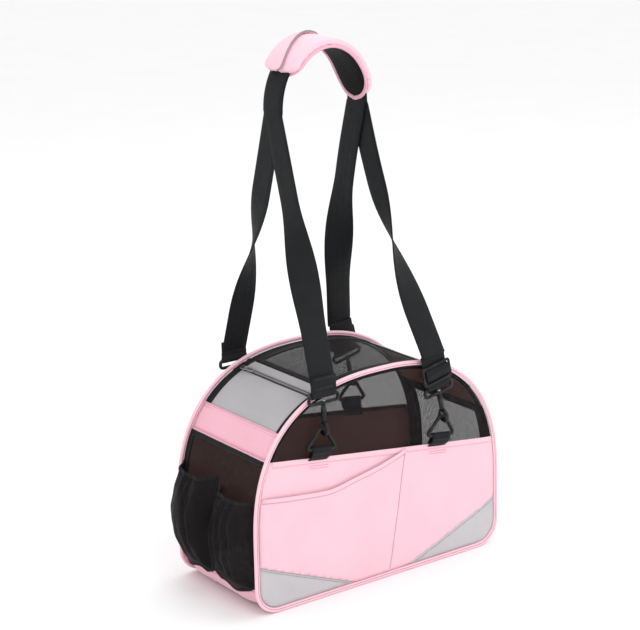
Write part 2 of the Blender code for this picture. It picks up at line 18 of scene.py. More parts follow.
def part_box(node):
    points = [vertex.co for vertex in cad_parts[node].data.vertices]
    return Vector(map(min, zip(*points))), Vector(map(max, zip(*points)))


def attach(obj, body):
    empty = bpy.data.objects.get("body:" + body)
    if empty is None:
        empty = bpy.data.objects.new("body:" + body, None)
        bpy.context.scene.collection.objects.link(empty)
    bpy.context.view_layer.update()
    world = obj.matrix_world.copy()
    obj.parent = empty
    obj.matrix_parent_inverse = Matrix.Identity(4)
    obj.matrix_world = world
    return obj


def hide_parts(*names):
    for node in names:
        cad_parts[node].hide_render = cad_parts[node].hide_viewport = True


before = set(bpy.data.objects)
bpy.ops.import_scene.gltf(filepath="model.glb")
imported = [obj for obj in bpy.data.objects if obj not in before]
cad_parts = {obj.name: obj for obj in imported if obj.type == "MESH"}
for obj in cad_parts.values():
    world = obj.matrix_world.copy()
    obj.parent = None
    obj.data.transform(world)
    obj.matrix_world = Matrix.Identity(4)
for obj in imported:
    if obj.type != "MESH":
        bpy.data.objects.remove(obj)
LOG = logging.getLogger("carrier")
CABIN = Vector((0.0, 0.0, 0.15))
FULL = math.tau
CELL = 0.006
WALL = 0.0016
Place = Callable[[float, float], Vector]


class Slot(Enum):
    """Material slots of the record."""

    PINK = "pink_fabric"
    GREY = "grey_fabric"
    NET = "black_mesh"
    WEBBING = "webbing"
    BINDING = "binding"
    PLASTIC = "black_plastic"
    STEEL = "steel"
    BOARD = "board"
    FLEECE = "fleece"


class Side(Enum):
    """The two long sides, by the sign of Y."""

    FRONT = -1
    REAR = 1

    @property
    def word(self) -> str:
        """The side's name in piece names."""
        return self.name.lower()


class End(Enum):
    """The two ends, by the sign of X."""

    LEFT = -1
    RIGHT = 1

    @property
    def word(self) -> str:
        """The end's name in piece names."""
        return self.name.lower()


# ---------------------------------------------------------------- finishes
class Wire:
    """One output of a shader node. Arithmetic on it adds Math nodes."""

    def __init__(self, board: "Board", socket: bpy.types.NodeSocket) -> None:
        """Keeps the socket and the board that it is on."""
        self.board = board
        self.socket = socket

    def math(self, operation: str, *others: object) -> "Wire":
        """Adds one Math node.

        Args:
            operation: the node's operation.
            others: the values or wires after this one.

        Returns:
            The node's output.
        """
        return self.board.node("ShaderNodeMath", {"operation": operation}, [self, *others])

    def _after(self, operation: str, first: object) -> "Wire":
        """Adds a Math node whose first value is another's."""
        return self.board.node("ShaderNodeMath", {"operation": operation}, [first, self])

    def __add__(self, other: object) -> "Wire":
        """This plus other."""
        return self.math("ADD", other)

    def __radd__(self, other: object) -> "Wire":
        """Other plus this."""
        return self.math("ADD", other)

    def __sub__(self, other: object) -> "Wire":
        """This less other."""
        return self.math("SUBTRACT", other)

    def __rsub__(self, other: object) -> "Wire":
        """Other less this."""
        return self._after("SUBTRACT", other)

    def __mul__(self, other: object) -> "Wire":
        """This times other."""
        return self.math("MULTIPLY", other)

    def __rmul__(self, other: object) -> "Wire":
        """Other times this."""
        return self.math("MULTIPLY", other)

    def __truediv__(self, other: object) -> "Wire":
        """This over other."""
        return self.math("DIVIDE", other)

    def wave(self, pitch: float) -> "Wire":
        """A cosine of this, repeating every pitch."""
        return (self * (FULL / pitch)).math("COSINE")

    def part(self, pitch: float) -> "Wire":
        """Distance from the middle of a repeat, from 0 to 0.5."""
        return ((self / pitch).math("FRACT") - 0.5).math("ABSOLUTE")


class Board:
    """The node tree of one material."""

    def __init__(self, name: str) -> None:
        """Starts a material with a Principled shader."""
        self.material = bpy.data.materials.new(name)
        self.material.use_nodes = True
        self.tree = self.material.node_tree
        self.shader = self.tree.nodes["Principled BSDF"]

    def node(self, kind: str, settings: dict, inputs: Sequence[object] = (), out: int = 0) -> Wire:
        """Adds a node.

        Args:
            kind: the node's type.
            settings: its properties; "stops" holds a ramp's positions and greys.
            inputs: values or wires for its sockets in order; None leaves one alone.
            out: which output to return.

        Returns:
            The chosen output.
        """
        made = self.tree.nodes.new(kind)
        for key, value in settings.items():
            if key == "stops":
                for index, (where, grey) in enumerate(value):
                    ramp = made.color_ramp.elements
                    stop = ramp[index] if index < len(ramp) else ramp.new(where)
                    stop.position, stop.color = where, (grey, grey, grey, 1)
            else:
                setattr(made, key, value)
        for socket, value in zip(made.inputs, inputs):
            if isinstance(value, Wire):
                self.tree.links.new(value.socket, socket)
            elif value is not None:
                socket.default_value = value
        return Wire(self, made.outputs[out])

    def cloth_axes(self) -> tuple[Wire, Wire]:
        """Metres across and along the cloth, from the piece's own map."""
        where = self.node("ShaderNodeUVMap", {"uv_map": "cloth"})
        split = self.node("ShaderNodeSeparateXYZ", {}, [where])
        return split, Wire(self, split.socket.node.outputs[1])

    def place(self) -> Wire:
        """The point in the row frame."""
        return self.node("ShaderNodeTexCoord", {}, out=3)

    def speckle(self, scale: float, detail: float = 2.0) -> Wire:
        """Noise from 0 to 1 at so many repeats a metre."""
        return self.node("ShaderNodeTexNoise", {}, [self.place(), None, scale, detail])

    def mix(self, share: object, first: object, second: object) -> Wire:
        """A colour between two.

        Args:
            share: 0 for the first, 1 for the second.
            first: a colour or wire.
            second: a colour or wire.

        Returns:
            The mixed colour.
        """
        settings = {"data_type": "RGBA"}
        return self.node("ShaderNodeMix", settings, [share, *[None] * 5, first, second], 2)

    def feed(self, socket: str, value: object) -> None:
        """Sets or links one socket of the shader."""
        if isinstance(value, Wire):
            self.tree.links.new(value.socket, self.shader.inputs[socket])
        else:
            self.shader.inputs[socket].default_value = value

    def bump(self, height: Wire, depth: float, strength: float = 1.0) -> None:
        """Raises the surface by a height from 0 to 1 over so many metres."""
        made = self.tree.nodes.new("ShaderNodeBump")
        made.inputs["Strength"].default_value = strength
        made.inputs["Distance"].default_value = depth
        self.tree.links.new(height.socket, made.inputs["Height"])
        self.tree.links.new(made.outputs["Normal"], self.shader.inputs["Normal"])


def tint(red: float, green: float, blue: float) -> tuple[float, float, float, float]:
    """A linear colour from display values of 0 to 255."""
    def linear(value: float) -> float:
        """One channel."""
        share = value / 255
        return share / 12.92 if share < 0.04 else ((share + 0.055) / 1.055) ** 2.4
    return linear(red), linear(green), linear(blue), 1.0


@dataclass(frozen=True)
class Finish:
    """A material and the record's slot that it stands for."""

    name: str
    slot: Slot
    colour: tuple[float, float, float, float]
    dark: tuple[float, float, float, float]
    made: ClassVar[dict[str, bpy.types.Material]] = {}

    def material(self) -> bpy.types.Material:
        """The material, made on first use."""
        if self.name not in Finish.made:
            board = Board(self.name)
            self.dress(board)
            Finish.made[self.name] = board.material
        return Finish.made[self.name]

    def dress(self, board: Board) -> None:
        """Fills the board in."""
        raise NotImplementedError


@dataclass(frozen=True)
class WovenCloth(Finish):
    """Plain-woven polyester with a dull sheen."""

    yarn: float = 0.0007
    sheen: float = 0.25

    def dress(self, board: Board) -> None:
        """Crossing yarns, slow changes of tone and a few slubs."""
        across, along = board.cloth_axes()
        over = across.wave(4 * self.yarn) * along.wave(4 * self.yarn) * 0.5 + 0.5
        weave = across.wave(self.yarn) * over + along.wave(self.yarn) * (1 - over)
        tone = board.speckle(16, 3) * 0.55 + board.speckle(420, 2) * 0.30 + weave * 0.06
        board.feed("Base Color", board.mix(tone, self.dark, self.colour))
        board.feed("Roughness", 0.62 + board.speckle(60) * 0.22)
        board.feed("Sheen Weight", self.sheen)
        board.feed("Sheen Roughness", 0.5)
        board.feed("Specular IOR Level", 0.3)
        crease = board.speckle(38, 4)
        board.bump(weave * 0.12 + crease, 0.0016, 0.35)


@dataclass(frozen=True)
class Netting(Finish):
    """Open netting: strands cross on the slant and leave square holes."""

    pitch: float = 0.0018
    hole: float = 0.36
    veil: float = 0.2

    def dress(self, board: Board) -> None:
        """Strands are kept where either slant is near a crossing line."""
        across, along = board.cloth_axes()
        first, second = (across + along).part(self.pitch), (across - along).part(self.pitch)
        strand = first.math("MAXIMUM", second)
        board.feed("Alpha", strand.math("GREATER_THAN", self.hole) * (0.92 - self.veil) + self.veil)
        board.feed("Specular IOR Level", 0.1)
        board.feed("Base Color", board.mix(board.speckle(90), self.dark, self.colour))
        board.feed("Roughness", 0.55 + board.speckle(200) * 0.3)
        board.bump(strand, 0.0004, 0.6)


@dataclass(frozen=True)
class Ribbed(Finish):
    """Webbing or tape with ribs across it and a herringbone down the middle."""

    rib: float = 0.0013

    def dress(self, board: Board) -> None:
        """Ribs that zigzag across the width."""
        across, along = board.cloth_axes()
        zigzag = along + across.part(0.0095) * 0.0045
        ribs = zigzag.wave(self.rib) * 0.5 + 0.5
        tone = ribs * 0.35 + board.speckle(30, 3) * 0.45 + board.speckle(900) * 0.2
        board.feed("Base Color", board.mix(tone, self.dark, self.colour))
        board.feed("Roughness", 0.5 + board.speckle(120) * 0.25)
        board.feed("Specular IOR Level", 0.16)
        board.bump(ribs, 0.0003, 0.55)


@dataclass(frozen=True)
class Moulded(Finish):
    """Moulded or cast hardware with a fine grain and rubbed patches."""

    metal: float = 0.0
    gloss: float = 0.38

    def dress(self, board: Board) -> None:
        """A faint grain, and roughness that wanders."""
        grain = board.speckle(1400, 2)
        stops = {"stops": [(0.48, 0.0), (0.72, 1.0)]}
        worn = board.node("ShaderNodeValToRGB", stops, [board.speckle(75, 4)])
        board.feed("Base Color", board.mix(worn, self.dark, self.colour))
        board.feed("Metallic", self.metal)
        board.feed("Specular IOR Level", 0.5 if self.metal else 0.28)
        board.feed("Roughness", self.gloss + grain * 0.12 + board.speckle(40) * 0.10)
        board.bump(grain, 0.0002, 0.25)


@dataclass(frozen=True)
class Pile(Finish):
    """Short fleece pile."""

    def dress(self, board: Board) -> None:
        """Tufts of a few millimetres with curled fibres on them."""
        tufts = board.node("ShaderNodeTexVoronoi", {}, [board.place(), None, 260.0])
        curls = board.speckle(900, 4)
        tone = tufts * 0.6 + curls * 0.5
        board.feed("Base Color", board.mix(tone, self.dark, self.colour))
        board.feed("Roughness", 0.85 + board.speckle(90) * 0.1)
        board.feed("Sheen Weight", 0.6)
        board.bump(tone, 0.0018, 0.7)


@dataclass(frozen=True)
class Grippy(Finish):
    """Rubbery non-slip cloth with rows of small dots."""

    def dress(self, board: Board) -> None:
        """Raised dots on a plain ground."""
        across, along = board.cloth_axes()
        dots = across.part(0.004) * across.part(0.004) + along.part(0.004) * along.part(0.004)
        dot = board.node("ShaderNodeValToRGB", {"stops": [(0.03, 1.0), (0.09, 0.0)]}, [dots])
        board.feed("Base Color", board.mix(board.speckle(150), self.dark, self.colour))
        board.feed("Roughness", 0.72 - dot * 0.2)
        board.feed("Specular IOR Level", 0.12)
        board.bump(dot + board.speckle(900) * 0.3, 0.0005, 0.6)


@dataclass(frozen=True)
class Ground(Finish):
    """Studio floor."""

    def dress(self, board: Board) -> None:
        """Very slight mottling."""
        board.feed("Base Color", board.mix(board.speckle(5), self.dark, self.colour))
        board.feed("Roughness", 0.8 + board.speckle(12) * 0.1)


PINK = WovenCloth("pale_pink_weave", Slot.PINK, tint(247, 206, 217), tint(237, 186, 201))
# Shaded pink: a darker copy of the pink cloth for the end bands, their rolls and the pad's binding,
# painted shade where they turn away from the key light.
SHADED_PINK = WovenCloth("shaded_pink_weave", Slot.PINK, tint(240, 188, 203), tint(228, 166, 184))
PIPE = WovenCloth("piping_cloth", Slot.PINK, tint(252, 210, 220), tint(244, 190, 204), yarn=0.0006)
GREY = WovenCloth("warm_grey_weave", Slot.GREY, tint(203, 201, 204), tint(182, 179, 183))
# Shaded grey: a darker copy of the grey cloth for the end top panels and the roof's lead strip, painted
# shade.
SHADED_GREY = WovenCloth("shaded_grey_weave", Slot.GREY, tint(182, 180, 183), tint(156, 154, 157))
# Shaded lining: a brownish backing for the cloth's inner faces and the board's sleeve, painted shade for
# the dim inside seen through the nets.
SHADED_LINING = WovenCloth("shaded_lining_weave", Slot.BOARD, tint(206, 150, 132), tint(164, 112, 96), sheen=0.0)
NET = Netting("black_netting", Slot.NET, tint(44, 40, 42), tint(16, 14, 16),
              pitch=0.0013, hole=0.34, veil=0.32)
REAR_NET = Netting("rear_black_netting", Slot.NET, tint(44, 40, 42), tint(16, 14, 16),
                   pitch=0.00097, hole=0.35, veil=0.28)
ROOF_NET = Netting("roof_black_netting", Slot.NET, tint(36, 33, 35), tint(12, 11, 12),
                   pitch=0.0011, hole=0.25, veil=0.52)
POCKET_NET = Netting("dense_black_netting", Slot.NET, tint(34, 32, 34), tint(10, 10, 11),
                     pitch=0.0014, hole=0.20, veil=0.55)
WEBBING = Ribbed("black_webbing", Slot.WEBBING, tint(34, 36, 39), tint(8, 9, 10))
TAPE = Ribbed("black_edge_tape", Slot.BINDING, tint(34, 33, 35), tint(12, 12, 13), rib=0.0009)
# Grey tape: the roof zip's cord, and the bead on the pad flap's free edge, where its grey is painted
# shadow of the gap under the edge.
GREY_TAPE_AND_EDGE_SHADOW = Ribbed("grey_zip_tape", Slot.GREY, tint(168, 166, 170), tint(128, 126, 130), rib=0.0008)
PLASTIC = Moulded("black_moulding", Slot.PLASTIC, tint(44, 46, 50), tint(14, 15, 17), gloss=0.26)
COIL = Moulded("dark_zip_coil", Slot.PLASTIC, tint(52, 52, 56), tint(26, 26, 30), gloss=0.42)
STEEL = Moulded("bright_zip_metal", Slot.STEEL, tint(214, 214, 216), tint(168, 168, 172),
                metal=1.0, gloss=0.22)
FLEECE = Pile("fleece_pile", Slot.FLEECE, tint(240, 234, 230), tint(196, 188, 184))
GRIP = Grippy("non_slip_lining", Slot.BINDING, tint(20, 21, 21), tint(4, 4, 5))
PINK_THREAD = Ribbed("pink_thread", Slot.PINK, tint(240, 170, 190), tint(214, 136, 160), rib=0.0005)
# Seam thread: darker pink for the slip pocket's stitching, and for the seam line in the piping's groove,
# where its darkness is painted crease shade.
SEAM_THREAD_AND_SHADE = Ribbed("seam_thread_and_shade", Slot.PINK, tint(176, 110, 130), tint(140, 84, 104), rib=0.0005)
GREY_THREAD = Ribbed("grey_thread", Slot.GREY, tint(140, 138, 142), tint(104, 102, 106), rib=0.0005)
BLACK_THREAD = Ribbed("black_thread", Slot.WEBBING, tint(86, 88, 92), tint(50, 52, 54), rib=0.0005)
FLOOR = Ground("pale_floor", Slot.GREY, tint(250, 250, 250), tint(246, 246, 246))


# ---------------------------------------------------------------- making pieces
def put(name: str, body: bmesh.types.BMesh, finish: Finish, rides: str,
        *stands_for: str) -> bpy.types.Object:
    """Turns a bmesh into a finished piece that rides on a body.

    Args:
        name: the piece's name.
        body: its mesh, which is freed.
        finish: its material.
        rides: the CAD body that it moves with.
        stands_for: the CAD nodes that it replaces.

    Returns:
        The piece.
    """
    mesh = bpy.data.meshes.new(name)
    for face in body.faces:
        face.smooth = True
    body.to_mesh(mesh)
    body.free()
    mesh.materials.append(finish.material())
    piece = bpy.data.objects.new(name, mesh)
    bpy.context.scene.collection.objects.link(piece)
    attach(piece, rides)
    if stands_for:
        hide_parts(*stands_for)
    LOG.info("%s rides on %s", name, rides)
    return piece


def thicken(piece: bpy.types.Object, thickness: float, offset: float = -1.0,
            backing: "Finish | None" = None) -> bpy.types.Object:
    """Gives a sheet its thickness.

    Args:
        piece: the sheet.
        thickness: how thick it becomes.
        offset: -1 puts the thickness behind its face, 0 on both sides.
        backing: the finish of its back, if that differs.

    Returns:
        The piece.
    """
    wall = piece.modifiers.new("thickness", "SOLIDIFY")
    wall.thickness, wall.offset = thickness, offset
    if backing:
        piece.data.materials.append(backing.material())
        wall.material_offset = 1
    return piece


def face_away(body: bmesh.types.BMesh, inside: Vector) -> None:
    """Turns a sheet so that its faces look away from a point."""
    body.normal_update()
    towards = sum((face.normal.dot(face.calc_center_median() - inside) * face.calc_area()
                   for face in body.faces))
    if towards < 0:
        bmesh.ops.reverse_faces(body, faces=body.faces)


def grid_cloth(columns: int, rows: int, place: Place, inside: Vector = CABIN) -> bmesh.types.BMesh:
    """A rectangular cloth laid over a shape, with a map in metres.

    Args:
        columns: cells across.
        rows: cells along.
        place: the point for shares across and along.
        inside: the point that its face looks away from.

    Returns:
        The mesh.
    """
    body = bmesh.new()
    bmesh.ops.create_grid(body, x_segments=columns, y_segments=rows, size=0.5)
    middle = [place(step / 24, 0.5) for step in range(25)]
    spine = [place(0.5, step / 24) for step in range(25)]
    width = sum((b - a).length for a, b in zip(middle, middle[1:]))
    length = sum((b - a).length for a, b in zip(spine, spine[1:]))
    chart = body.loops.layers.uv.new("cloth")
    for face in body.faces:
        for loop in face.loops:
            u, v = loop.vert.co.x + 0.5, loop.vert.co.y + 0.5
            loop[chart].uv = (u * width, v * length)
    for vert in body.verts:
        vert.co = place(vert.co.x + 0.5, vert.co.y + 0.5)
    face_away(body, inside)
    return body


def cut_cloth(edge: Sequence[Vector], cell: float, place: Place,
              inside: Vector = CABIN) -> bmesh.types.BMesh:
    """A cloth cut to an outline and laid over a shape, with a map in metres.

    Args:
        edge: its outline in the plane.
        cell: size of the cells that it is divided into.
        place: the point for a place in the plane.
        inside: the point that its face looks away from.

    Returns:
        The mesh.
    """
    body = bmesh.new()
    ring = [body.verts.new((point[0], point[1], 0)) for point in edge]
    bmesh.ops.contextual_create(body, geom=ring)
    for axis in (0, 1):
        low, high = min(p[axis] for p in edge), max(p[axis] for p in edge)
        normal = Vector((1 - axis, axis, 0))
        count = max(int((high - low) / cell), 1)
        for step in range(1, count):
            at = normal * (low + (high - low) * step / count)
            geometry = [*body.verts, *body.edges, *body.faces]
            bmesh.ops.bisect_plane(body, geom=geometry, dist=1e-6, plane_co=at, plane_no=normal)
    chart = body.loops.layers.uv.new("cloth")
    for face in body.faces:
        for loop in face.loops:
            loop[chart].uv = loop.vert.co.xy
    for vert in body.verts:
        vert.co = place(vert.co.x, vert.co.y)
    face_away(body, inside)
    return body


def round_section(radius: float, count: int = 10, flat: float = 1.0) -> list[Vector]:
    """A circle or, where flat isn't 1, an ellipse that is thinner along Y."""
    turns = [FULL * index / count for index in range(count)]
    return [Vector((radius * math.cos(a), radius * flat * math.sin(a), 0)) for a in turns]


def tape_section(width: float, thickness: float) -> list[Vector]:
    """A flat band's outline with rounded edges."""
    half, thin = width / 2, thickness / 2
    ends = [(half - thin * (1 - math.cos(a)), thin * math.sin(a)) for a in (-1.2, -0.5, 0.5, 1.2)]
    right = [Vector((x, y, 0)) for x, y in ends]
    top = [Vector((half * part, thin, 0)) for part in (0.6, 0.2, -0.2, -0.6)]
    left = [Vector((-p.x, -p.y, 0)) for p in right]
    return [*right, *top, *left, *[Vector((-p.x, -p.y, 0)) for p in top]]


def sweep(section: Sequence[Vector], stations: Sequence[Matrix],
          loop: bool = False) -> bmesh.types.BMesh:
    """A section extruded from station to station, with a map in metres.

    Args:
        section: the outline, in the stations' XY planes.
        stations: where it passes, Z along the way.
        loop: whether the last station joins the first.

    Returns:
        The mesh, closed at its ends.
    """
    body = bmesh.new()
    column, row = body.verts.layers.int.new("column"), body.verts.layers.int.new("row")
    ring = [body.verts.new(stations[0] @ point) for point in section]
    for index, vert in enumerate(ring):
        vert[column] = index
    edges = [body.edges.new((ring[index - 1], vert)) for index, vert in enumerate(ring)]
    first, before = edges, stations[0]
    for index, station in enumerate(stations[1:], 1):
        made = bmesh.ops.extrude_edge_only(body, edges=edges)["geom"]
        fresh = {item for item in made if isinstance(item, bmesh.types.BMVert)}
        edges = [item for item in made
                 if isinstance(item, bmesh.types.BMEdge) and set(item.verts) <= fresh]
        bmesh.ops.transform(body, matrix=station @ before.inverted(), verts=list(fresh))
        for vert in fresh:
            vert[row] = index
        before = station
    if loop:
        bmesh.ops.bridge_loops(body, edges=[*edges, *first])
    else:
        for rim in (first, edges):
            bmesh.ops.contextual_create(body, geom=rim)
    around, along = [0.0], [0.0]
    for a, b in zip(section, [*section[1:], section[0]]):
        around.append(around[-1] + (b - a).length)
    for a, b in zip(stations, [*stations[1:], stations[0]]):
        along.append(along[-1] + (b.translation - a.translation).length)
    chart = body.loops.layers.uv.new("cloth")
    count, last = len(section), len(stations)
    for face in body.faces:
        wraps = max(v[column] for v in face.verts) - min(v[column] for v in face.verts) > 1
        joins = max(v[row] for v in face.verts) - min(v[row] for v in face.verts) > 1
        for corner in face.loops:
            u, v = corner.vert[column], corner.vert[row]
            u = count if wraps and u == 0 and len(face.verts) == 4 else u
            v = last if joins and v == 0 else v
            corner[chart].uv = (around[u], along[v])
    bmesh.ops.recalc_face_normals(body, faces=body.faces)
    return body


def rail(points: Sequence[Vector], width: Vector, loop: bool = False) -> list[Matrix]:
    """Stations along a line, their X axes as near a direction as they can be.

    Args:
        points: the line.
        width: the direction for X.
        loop: whether the line is closed.

    Returns:
        One matrix a point.
    """
    stations = []
    for index, point in enumerate(points):
        before = points[index - 1] if index or loop else point
        after = points[(index + 1) % len(points)] if index + 1 < len(points) or loop else point
        along = (after - before).normalized()
        stations.append(station(point, along, width))
    return stations


def station(point: Vector, along: Vector, width: Vector) -> Matrix:
    """A matrix at a point, Z along the way and X as near width as it can be."""
    side = (width - along * width.dot(along)).normalized()
    turn = Matrix((side, along.cross(side), along)).transposed()
    return Matrix.Translation(point) @ turn.to_4x4()


def tube(points: Sequence[Vector], radius: float, loop: bool = False,
         count: int = 10) -> bmesh.types.BMesh:
    """A round cord or bar along a line that doesn't run along (1, 2, 3)."""
    return sweep(round_section(radius, count), rail(points, Vector((1, 2, 3)), loop), loop)


def merge(parts: Sequence[bmesh.types.BMesh]) -> bmesh.types.BMesh:
    """One mesh from several, which are freed."""
    whole = bmesh.new()
    for part in parts:
        mesh = bpy.data.meshes.new("part")
        part.to_mesh(mesh)
        part.free()
        whole.from_mesh(mesh)
        bpy.data.meshes.remove(mesh)
    return whole


def smooth_line(points: Sequence[Vector], steps: int) -> list[Vector]:
    """A smooth line through the given points, with so many steps between two."""
    padded = [points[0] * 2 - points[1], *points, points[-1] * 2 - points[-2]]
    line = []
    for before, start, end, after in zip(padded, padded[1:], padded[2:], padded[3:]):
        for step in range(steps):
            t = step / steps
            line.append(0.5 * (2 * start + (end - before) * t
                               + (2 * before - 5 * start + 4 * end - after) * t ** 2
                               + (3 * start - before - 3 * end + after) * t ** 3))
    return [*line, points[-1]]


def paced(line: Sequence[Vector], pitch: float) -> list[tuple[Vector, Vector]]:
    """Points and directions along a line, a pitch apart."""
    found, left = [], pitch / 2
    for a, b in zip(line, line[1:]):
        reach = (b - a).length
        while left < reach:
            found.append((a.lerp(b, left / reach), (b - a).normalized()))
            left += pitch
        left -= reach
    return found


def stitch_row(line: Sequence[Vector], pitch: float = 0.0042,
               radius: float = 0.00035) -> bmesh.types.BMesh:
    """A row of raised stitches along a line."""
    body = bmesh.new()
    for point, along in paced(line, pitch):
        place = Matrix.Translation(point) @ along.to_track_quat("Z", "Y").to_matrix().to_4x4()
        bmesh.ops.create_cone(body, cap_ends=True, segments=5, radius1=radius, radius2=radius,
                              depth=pitch * 0.68, matrix=place)
    return body


def rounded_line(corners: Sequence[tuple[float, float]], radius: float, steps: int = 5) -> list[Vector]:
    """A closed outline in XZ whose corners are arcs."""
    flat = [Vector(corner) for corner in corners]
    points = []
    for index, corner in enumerate(flat):
        back = (flat[index - 1] - corner).normalized()
        onward = (flat[(index + 1) % len(flat)] - corner).normalized()
        half = back.angle(onward) / 2
        middle = corner + (back + onward).normalized() * radius / math.sin(half)
        start = corner + back * radius / math.tan(half) - middle
        turn = (math.pi - 2 * half) * (1 if back.cross(onward) < 0 else -1)
        for step in range(steps + 1):
            point = middle + Matrix.Rotation(turn * step / steps, 2) @ start
            points.append(Vector((point.x, 0, point.y)))
    return points


def oblong(half: float, middle: float, rise: float) -> tuple[tuple[float, float], ...]:
    """Corners in XZ of an oblong round a height."""
    return ((-half, middle - rise), (half, middle - rise), (half, middle + rise),
            (-half, middle + rise))


def lumps(x: float, y: float, z: float = 0.0) -> float:
    """Smooth noise between about -1 and 1."""
    return noise.noise(Vector((x, y, z)))


def ease(share: float) -> float:
    """0 to 1 with flat ends."""
    share = min(max(share, 0.0), 1.0)
    return share * share * (3 - 2 * share)


# ---------------------------------------------------------------- shape of the bag
@dataclass(frozen=True)
class Outline:
    """The seam line round a long side, in (x, z)."""

    half_length: float
    base: float = 0.0090
    lean_start: float = 0.1155
    crown: float = 0.229
    power: float = 2.5
    foot: float = 0.034
    hub: tuple[float, float] = (0.0, 0.12)

    def holds(self, x: float, z: float) -> bool:
        """Whether a point is within the seam line."""
        if z > self.lean_start:
            across, up = abs(x / self.half_length), (z - self.lean_start) / self.crown
            return across ** self.power + up ** self.power < 1
        over = abs(x) - (self.half_length - self.foot)
        if over <= 0 or z > self.base + self.foot:
            return z > self.base and abs(x) < self.half_length
        return math.hypot(over, self.base + self.foot - z) < self.foot

    def reach(self, angle: float) -> float:
        """How far the seam line is from the hub at an angle."""
        low, high = 0.05, 0.40
        for _ in range(22):
            middle = (low + high) / 2
            x = self.hub[0] + middle * math.cos(angle)
            z = self.hub[1] + middle * math.sin(angle)
            low, high = (middle, high) if self.holds(x, z) else (low, middle)
        return low

    def at(self, angle: float, offset: float = 0.0) -> Vector:
        """The seam line's point at an angle, pushed outwards."""
        def plain(turn: float) -> Vector:
            """The point without the push."""
            return Vector(self.hub) + Vector((math.cos(turn), math.sin(turn))) * self.reach(turn)
        along = plain(angle + 0.01) - plain(angle - 0.01)
        return plain(angle) + Vector((along.y, -along.x)).normalized() * offset

    def angle(self, x: float, z: float) -> float:
        """The angle of the ray through a point."""
        return math.atan2(z - self.hub[1], x - self.hub[0]) % FULL

    def inset(self, x: float, z: float) -> float:
        """About how far a point is within the seam line."""
        away = Vector((x, z)) - Vector(self.hub)
        return 0.1 if away.length < 0.02 else self.reach(self.angle(x, z)) - away.length

    def ring(self, offset: float = 0.0, count: int = 150) -> list[Vector]:
        """The closed line, at even spacing, anticlockwise from the right."""
        rough = [self.at(FULL * step / 360, offset) for step in range(361)]
        return spaced(rough, count)[:-1]

    def track(self, start: tuple[float, float], stop: tuple[float, float], count: int) -> list[Vector]:
        """Evenly spaced points anticlockwise between the rays through two points."""
        first, last = self.angle(*start), self.angle(*stop)
        last += FULL if last <= first else 0.0
        rough = [self.at(first + (last - first) * step / 160) for step in range(161)]
        return spaced(rough, count)

    def end_x(self, z: float) -> float:
        """How far an end wall is from the middle at a height."""
        if z <= self.lean_start:
            return self.half_length
        up = (z - self.lean_start) / self.crown
        return self.half_length * (1 - up ** self.power) ** (1 / self.power)


def spaced(line: Sequence[Vector], count: int) -> list[Vector]:
    """The same line with so many even steps."""
    lengths = [0.0]
    for a, b in zip(line, line[1:]):
        lengths.append(lengths[-1] + (b - a).length)
    made, index = [], 0
    for step in range(count + 1):
        want = lengths[-1] * step / count
        while index < len(line) - 2 and lengths[index + 1] < want:
            index += 1
        reach = lengths[index + 1] - lengths[index]
        made.append(line[index].lerp(line[index + 1], (want - lengths[index]) / reach if reach else 0.0))
    return made


def clipped(points: Sequence[Vector], through: Vector, normal: Vector) -> list[Vector]:
    """The part of an outline on the side of a line that normal points to."""
    kept = []
    for index, point in enumerate(points):
        before = points[index - 1]
        here, there = (point - through).dot(normal), (before - through).dot(normal)
        if here * there < 0:
            kept.append(before + (point - before) * (there / (there - here)))
        if here >= 0:
            kept.append(point)
    return kept


@dataclass(frozen=True)
class Shape:
    """Main sizes, with those that the frame holds read from it."""

    outline: Outline
    face: float
    trim_middle: float = 0.217
    trim_slope: float = -0.131
    patch_height: float = 0.072
    patch_length: float = 0.180
    band_low: float = 0.243
    band_high: float = 0.281
    foot_band: float = 0.042
    door_half: float = 0.088
    zip_x: float = 0.118
    gusset_half: float = 0.1047

    @classmethod
    def measured(cls) -> "Shape":
        """The shape, from the frame's own boxes."""
        low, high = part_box("front_lower_panel")
        return cls(Outline(half_length=high.x), face=-low.y)

    def trim(self, x: float) -> float:
        """Height of the fabric's slanted top edge."""
        return self.trim_middle + self.trim_slope * x

    def patch_line(self, end: End) -> tuple[Vector, Vector]:
        """A point on a corner patch's sloping edge, and the direction to its outer corner."""
        sign = end.value
        through = Vector((sign * (self.outline.half_length - self.patch_length), self.outline.base))
        return through, Vector((sign * self.patch_height, -self.patch_length)).normalized()


